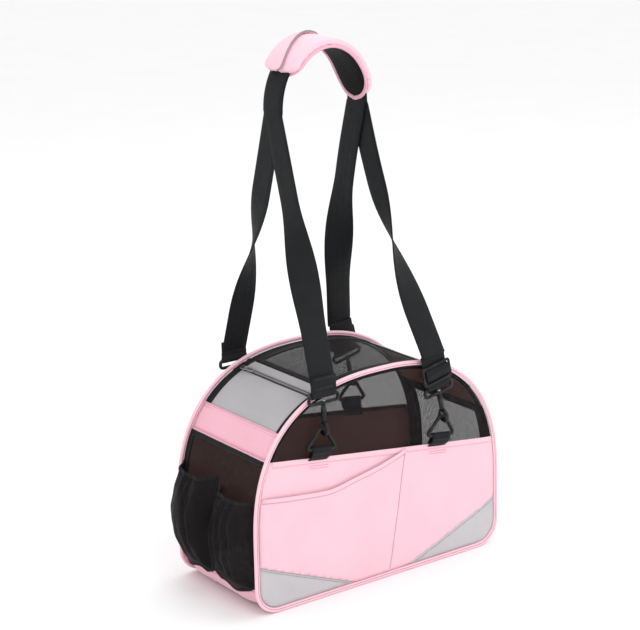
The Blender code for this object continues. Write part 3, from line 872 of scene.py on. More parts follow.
# ---------------------------------------------------------------- long sides
@dataclass(frozen=True)
class LongSide:
    """One long side: fabric, corner patches, net window, hem, piping and inner binding."""

    shape: Shape
    side: Side
    puff: float = 0.0024
    bead: float = 0.0046
    tab_x: float = 0.117

    def depth(self, x: float, z: float) -> float:
        """How far the cloth stands out from the seam plane at a point."""
        inset = max(self.shape.outline.inset(x, z), 0.0)
        full = self.puff * (1 - math.exp(-inset / 0.020)) - 0.0009
        for end in End:
            through, outward = self.shape.patch_line(end)
            gap = (Vector((x, z)) - through).dot(outward)
            full -= 0.0010 * math.exp(-(gap / 0.0022) ** 2)
        soft = min(inset / 0.03, 1.0)
        full += soft * 0.0009 * lumps(x * 9, z * 13, self.side.value * 3.0)
        full += soft * 0.0005 * lumps(x * 31 + z * 12, z * 22, 7.0)
        corner = math.exp(-(abs(x) - 0.2) ** 2 / 0.002) * math.exp(-(z - 0.05) ** 2 / 0.002)
        return full + 0.0008 * corner * math.sin(110 * (abs(x) - z))

    def cloth(self, x: float, z: float) -> Vector:
        """The point of the fabric at a place in the plane."""
        return Vector((x, self.side.value * (self.shape.face + self.depth(x, z)), z))

    def net(self, x: float, z: float) -> Vector:
        """The point of the net, which hangs a little slack."""
        inset = max(self.shape.outline.inset(x, z), 0.0)
        below = max(z - self.shape.trim(x), 0.0)
        slack = min(inset, below, 0.03) / 0.03
        bulge = 0.0016 * ease(slack) + slack * 0.0012 * lumps(x * 12, z * 16, 2.0 * self.side.value)
        return Vector((x, self.side.value * (self.shape.face - 0.0014 + bulge), z))

    def build(self) -> None:
        """Makes every piece of the side."""
        word, ring = self.side.word, self.shape.outline.ring(-0.0002)
        through = Vector((0, self.shape.trim_middle))
        upward = Vector((-self.shape.trim_slope, 1)).normalized()
        window = clipped(ring, through - upward * 0.006, upward)
        net = NET if self.side is Side.FRONT else REAR_NET
        put(f"{word}_net_window", cut_cloth(window, 0.008, self.net), net, "bag", f"{word}_mesh_window")
        fabric = clipped(ring, through, -upward)
        for end in End:
            start, outward = self.shape.patch_line(end)
            patch = clipped(fabric, start, outward)
            piece = put(f"{word}_corner_cloth_{end.word}", cut_cloth(patch, CELL, self.cloth), GREY,
                        "bag", f"{word}_corner_patch_{end.word}")
            thicken(piece, 0.0012, backing=SHADED_LINING)
            fabric = clipped(fabric, start, -outward)
            self.patch_stitches(end)
        piece = put(f"{word}_panel_cloth", cut_cloth(fabric, CELL, self.cloth), PINK, "bag",
                    f"{word}_lower_panel")
        thicken(piece, 0.0012, backing=SHADED_LINING)
        self.hem()
        self.piping()

    def patch_stitches(self, end: End) -> None:
        """A row of stitches along each side of a corner patch's seam."""
        start, outward = self.shape.patch_line(end)
        slope = Vector((-outward.y, outward.x)) * (1 if end is End.RIGHT else -1)
        line = []
        for step in range(120):
            point = start + outward * 0.0035 + slope * (0.21 * step / 119)
            if self.shape.outline.inset(*point) > 0.002:
                line.append(self.cloth(*point) + Vector((0, self.side.value * 0.0001, 0)))
        put(f"{self.side.word}_patch_stitches_{end.word}", stitch_row(line), GREY_THREAD, "bag")

    def hem(self) -> None:
        """The folded top edge of the fabric, its stitching and the rows under each tab."""
        word, sign = self.side.word, self.side.value
        edge = [x / 1000 for x in range(-240, 241, 2)]
        trim, inset = self.shape.trim, self.shape.outline.inset
        spots = [(x, trim(x)) for x in edge if inset(x, trim(x)) > 0.0015]
        line = [self.cloth(x, z - 0.0045) + Vector((0, sign * 0.0002, 0)) for x, z in spots]
        up = Vector((0, 0, 1))
        put(f"{word}_hem", sweep(tape_section(0.0100, 0.0014), rail(line, up)), PINK, "bag")
        row = [self.cloth(x, z - 0.0078) + Vector((0, sign * 0.0010, 0)) for x, z in spots]
        put(f"{word}_hem_stitches", stitch_row(row), PINK_THREAD, "bag")
        rows = []
        for end in End:
            middle = end.value * self.tab_x - 0.004
            for drop in (0.0125, 0.0165):
                spots = [middle + step / 1000 for step in range(-18, 19, 3)]
                line = [self.cloth(x, trim(x) - drop) + Vector((0, sign * 0.0002, 0)) for x in spots]
                rows.append(stitch_row(line, 0.0026, 0.0004))
        put(f"{word}_tab_stitches", merge(rows), PINK_THREAD, "bag")

    def piping(self) -> None:
        """The double bead round the side, the seam line in its groove, drawn darker as painted crease
        shade, and the binding inside.
        """
        word, sign = self.side.word, self.side.value
        depth = sign * (self.shape.face - 0.0015)
        ring = self.shape.outline.ring(self.bead, 190)
        points = [Vector((p.x, depth, p.y)) for p in ring]
        stations = []
        for index, point in enumerate(points):
            along = (points[(index + 1) % len(points)] - points[index - 1]).normalized()
            stations.append(station(point, along, Vector((along.z, 0, -along.x))))
        section = []
        for step in range(18):
            turn = FULL * step / 18
            out = 0.0040 * math.cos(turn)
            waist = 1 - 0.42 * math.exp(-((out + 0.0009) / 0.0011) ** 2)
            section.append(Vector((out, 0.0034 * math.sin(turn) * waist, 0)))
        put(f"{word}_piping_cloth", sweep(section, stations, True), PIPE, "bag", f"{word}_piping")
        # The seam line in each groove is a real seam drawn darker: painted crease shade.
        for face, name in ((sign, "outer"), (-sign, "inner")):
            groove = [s @ Vector((-0.0009, 0, 0)) + Vector((0, face * 0.0019, 0)) for s in stations]
            put(f"{word}_piping_seam_{name}", tube(groove, 0.00045, True, 6), SEAM_THREAD_AND_SHADE, "bag")
        inner = self.shape.outline.ring(-0.0045, 150)
        line = [Vector((p.x, sign * (self.shape.face - 0.0062), p.y)) for p in inner]
        turned = [station(p, (line[(i + 1) % len(line)] - line[i - 1]).normalized(), Vector((0, 1, 0)))
                  for i, p in enumerate(line)]
        put(f"{word}_inner_binding", sweep(round_section(0.0036, 8, 0.5), turned, True), TAPE, "bag",
            f"{word}_hoop_wire")


@dataclass(frozen=True)
class SlipPocket:
    """The flat pocket on the front, open along its dipping top edge."""

    shape: Shape
    side: LongSide
    foot_x: float = 0.0155
    gape: float = 0.0036
    mouth: tuple[tuple[float, float], ...] = (
        (-0.226, 0.190), (-0.162, 0.183), (-0.103, 0.178), (-0.054, 0.186), (-0.006, 0.195),
        (0.030, 0.205), (0.0475, 0.2095))

    def line(self) -> list[Vector]:
        """The mouth's line from left to right."""
        return smooth_line([Vector(point) for point in self.mouth], 6)

    def height(self, x: float) -> float:
        """Height of the mouth at x."""
        line = self.line()
        for a, b in zip(line, line[1:]):
            if a.x <= x <= b.x:
                return a.y + (b.y - a.y) * (x - a.x) / (b.x - a.x)
        return line[0].y if x < line[0].x else line[-1].y

    def lift(self, x: float, z: float) -> float:
        """How far the pocket stands off the side's cloth."""
        top, base = self.mouth[-1], self.shape.outline.base
        right = self.foot_x + (top[0] - self.foot_x) * (z - base) / (top[1] - base)
        sewn = min(max(right - x, 0.0), max(self.shape.outline.inset(x, z), 0.0))
        start, outward = self.shape.patch_line(End.LEFT)
        sewn = min(sewn, max((Vector((x, z)) - start).dot(-outward), 0.0))
        share = 1 - math.exp(-sewn / 0.016)
        low = ease(1 - (self.height(x) - z) / 0.10)
        full = self.gape * share * (0.25 + 0.75 * low)
        return 0.0014 + full + 0.0006 * share * lumps(x * 24, z * 12, 5.0)

    def cloth(self, x: float, z: float) -> Vector:
        """The point of the pocket's cloth at a place in the plane."""
        return self.side.cloth(x, z) + Vector((0, -self.lift(x, z), 0))

    def build(self) -> None:
        """Makes the pocket's cloth, its rolled hem and its stitching."""
        start, outward = self.shape.patch_line(End.LEFT)
        low = clipped(self.shape.outline.ring(-0.0008), start - outward * 0.0005, -outward)
        mouth = self.line()
        right, top = Vector((self.foot_x, self.shape.outline.base)), mouth[-1]
        wall = Vector((top.y - right.y, right.x - top.x)).normalized()
        low = clipped(low, right, -wall)
        low = [p for p in low if p.y < self.height(p.x) - 0.001]
        low.sort(key=lambda p: self.shape.outline.angle(p.x, p.y), reverse=True)
        edge = [*mouth, *low]
        piece = put("slip_pocket_cloth", cut_cloth(edge, CELL, self.cloth), PINK, "bag",
                    "front_slip_pocket")
        thicken(piece, 0.0011)
        roll = [self.cloth(p.x, p.y - 0.0036) + Vector((0, -0.0002, 0)) for p in mouth]
        hem = sweep(tape_section(0.0080, 0.0016), rail(roll, Vector((0, 0, 1))))
        put("slip_pocket_hem", hem, PINK, "bag")
        row = [self.cloth(p.x, p.y - 0.0064) + Vector((0, -0.0011, 0)) for p in mouth]
        side = [right.lerp(top, step / 40) - Vector((0.0022, 0)) for step in range(1, 40)]
        seam = [self.cloth(p.x, p.y) + Vector((0, -0.0002, 0)) for p in side]
        put("slip_pocket_stitches", merge([stitch_row(row), stitch_row(seam)]), SEAM_THREAD_AND_SHADE, "bag")


# ---------------------------------------------------------------- ends, roof and floor
@dataclass(frozen=True)
class Strip:
    """A strip of cloth across the bag that follows the seam line between two points."""

    shape: Shape
    start: tuple[float, float]
    stop: tuple[float, float]
    low: float
    high: float

    def place(self, swell: Callable[[float, float], float] = lambda u, v: 0.0) -> Place:
        """The strip's place, with its swelling outwards."""
        track = self.shape.outline.track(self.start, self.stop, 60)

        def point(u: float, v: float) -> Vector:
            """The point for shares across and along."""
            at = min(max(v, 0.0), 1.0) * (len(track) - 1)
            index = min(int(at), len(track) - 2)
            flat = track[index].lerp(track[index + 1], at - index)
            along = (track[min(index + 2, len(track) - 1)] - track[max(index - 1, 0)]).normalized()
            flat = flat + Vector((along.y, -along.x)) * swell(u, v)
            return Vector((flat.x, self.low + (self.high - self.low) * u, flat.y))
        return point


def slack(depth: float, seed: float) -> Callable[[float, float], float]:
    """Swelling that is nothing at the edges and gently uneven between them."""
    def swell(u: float, v: float) -> float:
        """Outwards, for shares across and along."""
        edge = ease(min(u, 1 - u, v, 1 - v) / 0.16)
        return edge * depth * (0.7 + 0.9 * lumps(u * 3.1 + seed, v * 2.7, seed))
    return swell


@dataclass(frozen=True)
class EndWall:
    """The fixed parts of one end."""

    shape: Shape
    end: End
    belly: float = 0.010

    def sag(self, u: float) -> float:
        """How far the soft left end bellies out at its foot, for a share across it."""
        return self.belly * ease(min(u, 1 - u) / 0.22) if self.end is End.LEFT else 0.0

    def strip(self, z_low: float, z_high: float, half: float) -> Strip:
        """The strip between two heights; above the top band it ends at the roof's zip."""
        outline, sign, zip_z = self.shape.outline, self.end.value, 0.33
        lower = (sign * outline.end_x(z_low), z_low)
        upper_x = outline.end_x(z_high) if z_high < zip_z else self.shape.zip_x + 0.0012
        upper = (sign * upper_x, z_high)
        start, stop = (lower, upper) if sign > 0 else (upper, lower)
        return Strip(self.shape, start, stop, -half, half)

    def build(self) -> None:
        """Makes the bands, the top panel and the seams between them."""
        word, half, shape = self.end.word, self.shape.gusset_half, self.shape
        outline, sign = shape.outline, self.end.value
        foot = (sign * (outline.half_length - outline.foot), outline.base)
        top = (sign * outline.end_x(shape.foot_band), shape.foot_band)
        band = Strip(shape, foot, top, -half, half) if sign > 0 else Strip(shape, top, foot, -half, half)
        # The bands are drawn in the shaded pink: painted shade on the ends.
        loose = slack(0.0012, 1.0)
        cloth = grid_cloth(36, 12, band.place(lambda u, v: loose(u, v) + self.sag(u) * (1 - v) ** 0.7))
        piece = put(f"{word}_foot_band", cloth, SHADED_PINK, "bag", f"{word}_lower_band")
        thicken(piece, WALL, backing=SHADED_LINING)
        band = self.strip(shape.band_low, shape.band_high, half)
        cloth = grid_cloth(40, 10, band.place(slack(0.0016, 2.0)))
        piece = put(f"{word}_high_band", cloth, SHADED_PINK, "bag", f"{word}_upper_band")
        thicken(piece, WALL, backing=SHADED_LINING)
        # The top panel is drawn in the shaded grey: painted shade.
        panel = self.strip(shape.band_high, 0.33, shape.door_half + 0.001)
        cloth = grid_cloth(36, 22, panel.place(slack(0.0020, 3.0)))
        piece = put(f"{word}_top_cloth", cloth, SHADED_GREY, "bag", f"{word}_top_panel")
        thicken(piece, 0.0014, backing=SHADED_LINING)
        self.seams()

    def seams(self) -> None:
        """Rolled edges where the bands meet their neighbours."""
        word, half, shape, sign = self.end.word, self.shape.gusset_half, self.shape, self.end.value
        rolls, rows = [], []
        for z, drop in ((shape.band_low, 0.004), (shape.band_high, -0.004), (shape.foot_band, -0.004)):
            belly = 1.0 if z == shape.foot_band else 0.0
            across = [y / 1000 for y in range(-104, 105, 4)]
            out = [belly * self.sag(0.5 + y / (2 * half)) for y in across]
            x = shape.outline.end_x(z) + 0.0006
            line = [Vector((sign * (x + o), y, z + 0.0004 * lumps(y * 110, z * 40)))
                    for y, o in zip(across, out)]
            rolls.append(tube(line, 0.0011, False, 8))
            x = shape.outline.end_x(z + drop) + 0.0012
            row = [Vector((sign * (x + o * 0.93), y, z + drop)) for y, o in zip(across, out)]
            rows.append(stitch_row(row[1:-1]))
        # The rolls share the bands' shaded pink: painted shade.
        put(f"{word}_band_rolls", merge(rolls), SHADED_PINK, "bag")
        put(f"{word}_band_stitches", merge(rows), PINK_THREAD, "bag")


@dataclass(frozen=True)
class EndWindow:
    """The net window in the left end, with its bound edges."""

    shape: Shape
    border: float = 0.011

    def build(self) -> None:
        """Makes the net and the tape round it."""
        wall = EndWall(self.shape, End.LEFT)
        strip = wall.strip(self.shape.foot_band, self.shape.band_low, self.shape.gusset_half)
        loose = slack(0.0022, 6.0)

        def belly(u: float, v: float) -> float:
            """The foot's belly, fading upwards."""
            return wall.sag(u) * ease((v - 0.25) / 0.75)
        place = strip.place(lambda u, v: loose(u, v) + belly(u, v))
        put("left_window_net", grid_cloth(36, 40, place), NET, "bag", "left_end_mesh")
        bound_edges("left_window_tape", strip, self.border, "bag", lambda u, v: 0.0004 + belly(u, v))


def bound_edges(name: str, strip: Strip, width: float, rides: str,
                lift: Callable[[float, float], float] = lambda u, v: 0.0004) -> None:
    """Tape round the four edges of a strip, with a row of stitches.

    Args:
        name: the tape's name.
        strip: the strip that it binds.
        width: the tape's width.
        rides: the body that it moves with.
        lift: how far it stands off the strip, for shares across and along.
    """
    place = strip.place(lift)
    across = strip.high - strip.low
    along = sum((place(0, (i + 1) / 40) - place(0, i / 40)).length for i in range(40))
    share_u, share_v = width / across, width / along
    runs = ((0, 0, share_u, 1), (1 - share_u, 0, 1, 1), (share_u, 0, 1 - share_u, share_v),
            (share_u, 1 - share_v, 1 - share_u, 1))
    parts = []
    for low_u, low_v, high_u, high_v in runs:
        tall = high_v - low_v > high_u - low_u
        columns, rows = (4, 40) if tall else (30, 4)
        parts.append(grid_cloth(columns, rows, lambda u, v, a=low_u, b=low_v, c=high_u, d=high_v:
                                place(a + (c - a) * u, b + (d - b) * v)))
    piece = put(name, merge(parts), TAPE, rides)
    thicken(piece, 0.0016, 0.0)
    inner_u, inner_v = share_u * 0.8, share_v * 0.8
    corners = ((inner_u, inner_v), (1 - inner_u, inner_v),
               (1 - inner_u, 1 - inner_v), (inner_u, 1 - inner_v))
    rows = []
    above = strip.place(lambda u, v: lift(u, v) + 0.0009)
    for (u0, v0), (u1, v1) in zip(corners, [*corners[1:], corners[0]]):
        line = [above(u0 + (u1 - u0) * i / 40, v0 + (v1 - v0) * i / 40) for i in range(41)]
        rows.append(stitch_row(line))
    put(name + "_stitches", merge(rows), BLACK_THREAD, rides)


@dataclass(frozen=True)
class MeshPocket:
    """One bulging net pocket on the left end, gathered into elastic at its mouth."""

    shape: Shape
    word: str
    low: float
    high: float
    mouth: float
    foot: float = 0.038
    fullness: float = 0.031
    seed: float = 0.0

    def swell(self, u: float, v: float) -> float:
        """How far the net stands off the end wall at shares across and up."""
        body = math.sin(math.pi * (0.012 + 0.818 * min(max(v, 0.0), 1.0))) ** 0.9
        sides = ease(min(u, 1 - u) / 0.20)
        folds = 0.0022 * math.sin(FULL * (5 * u + 0.4 * lumps(u * 4, v * 3, self.seed))) * ease(v / 0.3)
        folds += 0.0030 * lumps(u * 5 + self.seed, v * 6, 3.0)
        crown = 0.86 + 0.14 * math.sin(math.pi * u)
        return 0.0012 + sides * body * (self.fullness * crown + folds)

    def point(self, u: float, v: float, lift: float = 0.0) -> Vector:
        """The net's point at shares across and up."""
        corner = 0.007 * (1 - ease(min(u, 1 - u) / 0.16)) + 0.003 * math.sin(9 * u + self.seed)
        dip = 0.004 * math.sin(math.pi * u)
        z = self.foot + corner + (self.mouth - dip - self.foot - corner) * v
        y = self.low + (self.high - self.low) * u
        belly = EndWall(self.shape, End.LEFT).sag(0.5 + y / 0.2094) * (1 - 0.85 * ease(v))
        return Vector((-(self.shape.outline.end_x(z) + belly + self.swell(u, v) + lift), y, z))

    def build(self) -> None:
        """Makes the net, the gathered hem and the bound sides."""
        body = grid_cloth(44, 36, self.point)
        put(f"{self.word}_pocket_net", body, POCKET_NET, "bag", f"left_pocket_{self.word}")
        rim = [self.point(step / 60, 1.0) for step in range(61)]
        section = round_section(0.0042, 8, 0.45)
        stations = rail(rim, Vector((0, 0, 1)))
        ruched = [s @ Matrix.Diagonal((1 + 0.10 * math.sin(i * 1.9), 1 + 0.25 * math.sin(i * 2.3), 1, 1))
                  for i, s in enumerate(stations)]
        put(f"{self.word}_pocket_elastic", sweep(section, ruched), TAPE, "bag")
        edges = []
        for u in (0.0, 1.0):
            line = [self.point(u, step / 24, 0.0004) for step in range(25)]
            edges.append(sweep(round_section(0.0026, 8, 0.5), rail(line, Vector((0, 1, 0)))))
        line = [self.point(step / 40, 0.0, 0.0004) for step in range(41)]
        edges.append(sweep(round_section(0.0022, 8, 0.5), rail(line, Vector((0, 0, 1)))))
        put(f"{self.word}_pocket_tape", merge(edges), TAPE, "bag")


def coil(line: Sequence[Vector], outward: Vector, name: str, rides: str, finish: Finish = COIL) -> None:
    """A run of zip coil: small links side by side along a line."""
    body = bmesh.new()
    for point, along in paced(line, 0.0021):
        place = station(point, along, outward)
        size = Matrix.Diagonal((0.0012, 0.0030, 0.0013, 1))
        bmesh.ops.create_cube(body, size=1.0, matrix=place @ size)
    put(name, body, finish, rides)


@dataclass(frozen=True)
class Roof:
    """The roof: two zip tapes, the net door with bound edges and its cloth lead strip."""

    shape: Shape

    def tape_run(self) -> Strip:
        """The whole run of tape, from the right high band over the roof to the left one."""
        shape = self.shape
        x = shape.outline.end_x(shape.band_high)
        return Strip(shape, (x, shape.band_high), (-x, shape.band_high), 0, 1)

    def build(self) -> None:
        """Makes the fixed tapes and the door."""
        shape = self.shape
        run = self.tape_run()
        for side in Side:
            inner, outer = side.value * (shape.door_half + 0.0008), side.value * shape.gusset_half
            strip = Strip(shape, run.start, run.stop, min(inner, outer), max(inner, outer))
            body = grid_cloth(6, 90, strip.place(lambda u, v: 0.0002))
            piece = put(f"roof_tape_{side.word}", body, TAPE, "bag", f"roof_zip_tape_{side.word}")
            thicken(piece, WALL)
            place = strip.place(lambda u, v: 0.0004)
            share = 0.02 if side is Side.REAR else 0.98
            line = [place(share, v / 160) for v in range(161)]
            middle = [p for p in line if abs(p.x) < shape.zip_x]
            coil(middle, Vector((0, 0, 1)), f"roof_zip_coil_{side.word}", "bag")
            proud = Vector((0, 0, 0.0002))
            rows = [stitch_row([place(u, v / 160) + proud for v in range(161)]) for u in (0.3, 0.7)]
            put(f"roof_tape_stitches_{side.word}", merge(rows), BLACK_THREAD, "bag")
        self.door()
        self.cross_zip()

    def door(self) -> None:
        """The net door, which lifts with its borders."""
        shape, half = self.shape, self.shape.door_half - 0.0004
        net = Strip(shape, (shape.zip_x - 0.0012, 0.33), (-shape.zip_x + 0.0175, 0.34), -half, half)
        cloth = grid_cloth(30, 40, net.place(slack(0.0016, 9.0)))
        put("roof_door_net", cloth, ROOF_NET, "roof_door", "roof_door_mesh")
        bound_edges("roof_door_tape", net, 0.010, "roof_door")
        lead = Strip(shape, (-shape.zip_x + 0.0165, 0.34), (-shape.zip_x + 0.0012, 0.33), -half, half)
        cloth = grid_cloth(36, 5, lead.place(lambda u, v: 0.0006 + 0.0006 * math.sin(math.pi * v)))
        thicken(put("roof_lead_cloth", cloth, SHADED_GREY, "roof_door", "roof_door_lead_strip"), 0.0018)

    def cross_zip(self) -> None:
        """The zip across the left of the roof: two dark folds with the coil between them."""
        shape = self.shape
        near = shape.outline.at(shape.outline.angle(-shape.zip_x - 0.0012, 0.33), 0.0008)
        far = shape.outline.at(shape.outline.angle(-shape.zip_x - 0.0078, 0.33), 0.0010)
        for spot, name, rides in ((near, "upper", "bag"), (far, "lower", "bag")):
            line = [Vector((spot.x + 0.0004 * lumps(y / 30, 1.0), y / 1000, spot.y))
                    for y in range(-88, 89, 4)]
            put(f"roof_zip_fold_{name}", tube(line, 0.0008, False, 8), COIL, rides)
        middle = near.lerp(far, 0.5)
        lift = Vector((-0.0003, 0, 0.0006))
        line = [Vector((middle.x, y / 1000, middle.y)) + lift for y in range(-87, 88, 3)]
        put("roof_zip_cord", tube(line, 0.0016, False, 8), GREY_TAPE_AND_EDGE_SHADOW, "bag")
        top = [p + lift * 1.2 for p in line]
        coil(top, Vector((-0.37, 0, 0.93)), "roof_cross_coil", "bag", GREY_THREAD)


@dataclass(frozen=True)
class EndDoor:
    """The right end: its net frame and the zipped net door in it."""

    shape: Shape
    low: float = 0.050
    high: float = 0.235

    def build(self) -> None:
        """Makes the frame's tapes, the door and its zip."""
        shape, wall = self.shape, EndWall(self.shape, End.RIGHT)
        half, door = shape.gusset_half, shape.door_half
        full = wall.strip(shape.foot_band, shape.band_low, half)
        parts = []
        for low, high in ((-half, -door), (door, half)):
            run = Strip(shape, full.start, full.stop, low, high)
            parts.append(grid_cloth(5, 40, run.place(lambda u, v: 0.0002)))
        for z_low, z_high in ((shape.foot_band, self.low), (self.high, shape.band_low)):
            parts.append(grid_cloth(30, 3, wall.strip(z_low, z_high, door).place(lambda u, v: 0.0002)))
        thicken(put("right_window_frame", merge(parts), TAPE, "bag", "right_end_mesh"), 0.0020)
        leaf = wall.strip(self.low + 0.0026, self.high - 0.0008, door - 0.0008)
        cloth = grid_cloth(32, 36, leaf.place(slack(0.0020, 12.0)))
        put("right_door_net", cloth, NET, "end_door", "right_end_door")
        bound_edges("right_door_tape", leaf, 0.0095, "end_door")
        place = leaf.place(lambda u, v: 0.0011)
        line = [place(0.0, v / 60) for v in range(61)] + [place(u / 60, 1.0) for u in range(61)]
        line += [place(1.0, 1 - v / 60) for v in range(61)]
        coil(line, Vector((1, 0, 0.1)), "right_door_coil", "bag")


@dataclass(frozen=True)
class Floor:
    """Base cloth, stiff board and fleece bed."""

    shape: Shape

    def build(self) -> None:
        """Makes the base cloth, the covered board and the bed."""
        low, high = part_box("bottom_panel")
        flat = high.x - 0.015

        def base(u: float, v: float) -> Vector:
            """The base cloth, turned up at its two ends."""
            x = low.x + (high.x - low.x) * u
            rise = self.shape.outline.base * ease((abs(x) - flat + 0.002) / 0.016)
            return Vector((x, low.y + (high.y - low.y) * v, rise))
        cloth = grid_cloth(90, 20, base, Vector((0, 0, 0.1)))
        thicken(put("base_cloth", cloth, GREY, "bag", "bottom_panel"), 0.0024)
        self.board()
        self.bed()

    def board(self) -> None:
        """The board in its cloth sleeve, with a sewn edge; the sleeve's brownish colour is painted
        shade.
        """
        low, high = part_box("base_board")
        body = cushion_block(low, high, 0.014, 5)
        rims = [edge for edge in body.edges if abs(edge.verts[0].co.z - edge.verts[1].co.z) < 1e-5
                and edge.calc_face_angle(0) > 0.5]
        soften(body, rims, 0.0012, 2)
        chart = body.loops.layers.uv.new("cloth")
        for face in body.faces:
            for loop in face.loops:
                loop[chart].uv = loop.vert.co.xy
        put("covered_board", body, SHADED_LINING, "bag", "base_board")

    def bed(self) -> None:
        """The fleece bed, puffed by simulation, with a tufted grid sewn through it."""
        low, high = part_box("fleece_bed")
        trim = (high - low) * 0.0125
        body = cushion_block(low + trim, high - trim, 0.024, 6)
        soften(body, list(body.edges), 0.005, 3)
        piece = put("bed_cushion", body, FLEECE, "bag", "fleece_bed")
        puff(piece, voxel=0.005, cap=0.0035)
        for vert in piece.data.vertices:
            x, y, z = vert.co
            if z > (low.z + high.z) / 2:
                near = min(abs((x / 0.105) % 1 - 0.5) * 0.105, 1)
                vert.co.z -= 0.0045 * math.exp(-(near / 0.006) ** 2) * ease((0.2 - abs(x)) / 0.02)
            vert.co.z = max(vert.co.z, low.z)
            vert.co.y = min(max(y, low.y - 0.001), high.y + 0.001)


def soften(body: bmesh.types.BMesh, edges: Sequence[bmesh.types.BMEdge], radius: float,
           segments: int) -> None:
    """Rounds some edges of a mesh."""
    bmesh.ops.bevel(body, geom=edges, offset=radius, segments=segments, profile=0.5,
                    affect="EDGES", material=-1)


def cushion_block(low: Vector, high: Vector, radius: float, segments: int) -> bmesh.types.BMesh:
    """A block between two corners, its upright edges rounded.

    Args:
        low: its lowest corner.
        high: its highest corner.
        radius: of the upright edges.
        segments: steps round each of them.

    Returns:
        The mesh.
    """
    body = bmesh.new()
    bmesh.ops.create_cube(body, size=1.0)
    bmesh.ops.scale(body, vec=high - low, verts=body.verts)
    bmesh.ops.translate(body, vec=(low + high) / 2, verts=body.verts)
    upright = [edge for edge in body.edges if abs(edge.verts[0].co.z - edge.verts[1].co.z) > 0.001]
    soften(body, upright, radius, segments)
    return body


def puff(piece: bpy.types.Object, voxel: float, cap: float, pressure: float = 4.0) -> None:
    """Swells a closed piece as stuffing does, by a short cloth simulation.

    Args:
        piece: the closed piece, changed in place.
        voxel: size of its new cells.
        cap: the farthest that a point may move.
        pressure: how hard the stuffing pushes.
    """
    def bake(target: bpy.types.Object) -> bpy.types.Mesh:
        """The mesh with its modifiers applied."""
        graph = bpy.context.evaluated_depsgraph_get()
        return bpy.data.meshes.new_from_object(target.evaluated_get(graph))

    def swap(mesh: bpy.types.Mesh) -> None:
        """Puts a mesh in place of the piece's own."""
        piece.modifiers.clear()
        piece.data = mesh
        for face in mesh.polygons:
            face.use_smooth = True
    remesh = piece.modifiers.new("cells", "REMESH")
    remesh.mode, remesh.voxel_size = "VOXEL", voxel
    swap(bake(piece))
    rest = [vert.co.copy() for vert in piece.data.vertices]
    cloth = piece.modifiers.new("stuffing", "CLOTH")
    cloth.settings.use_pressure = True
    cloth.settings.uniform_pressure_force = pressure
    cloth.settings.effector_weights.gravity = 0
    cloth.settings.quality = 4
    for step in range(1, 21):
        bpy.context.scene.frame_set(step)
    swollen = bake(piece)
    bpy.context.scene.frame_set(1)
    for vert, start in zip(swollen.vertices, rest):
        move = vert.co - start
        vert.co = start + move * min(1.0, cap / max(move.length, 1e-9))
    swap(swollen)
    finer = piece.modifiers.new("smoothing", "SUBSURF")
    finer.levels = finer.render_levels = 1


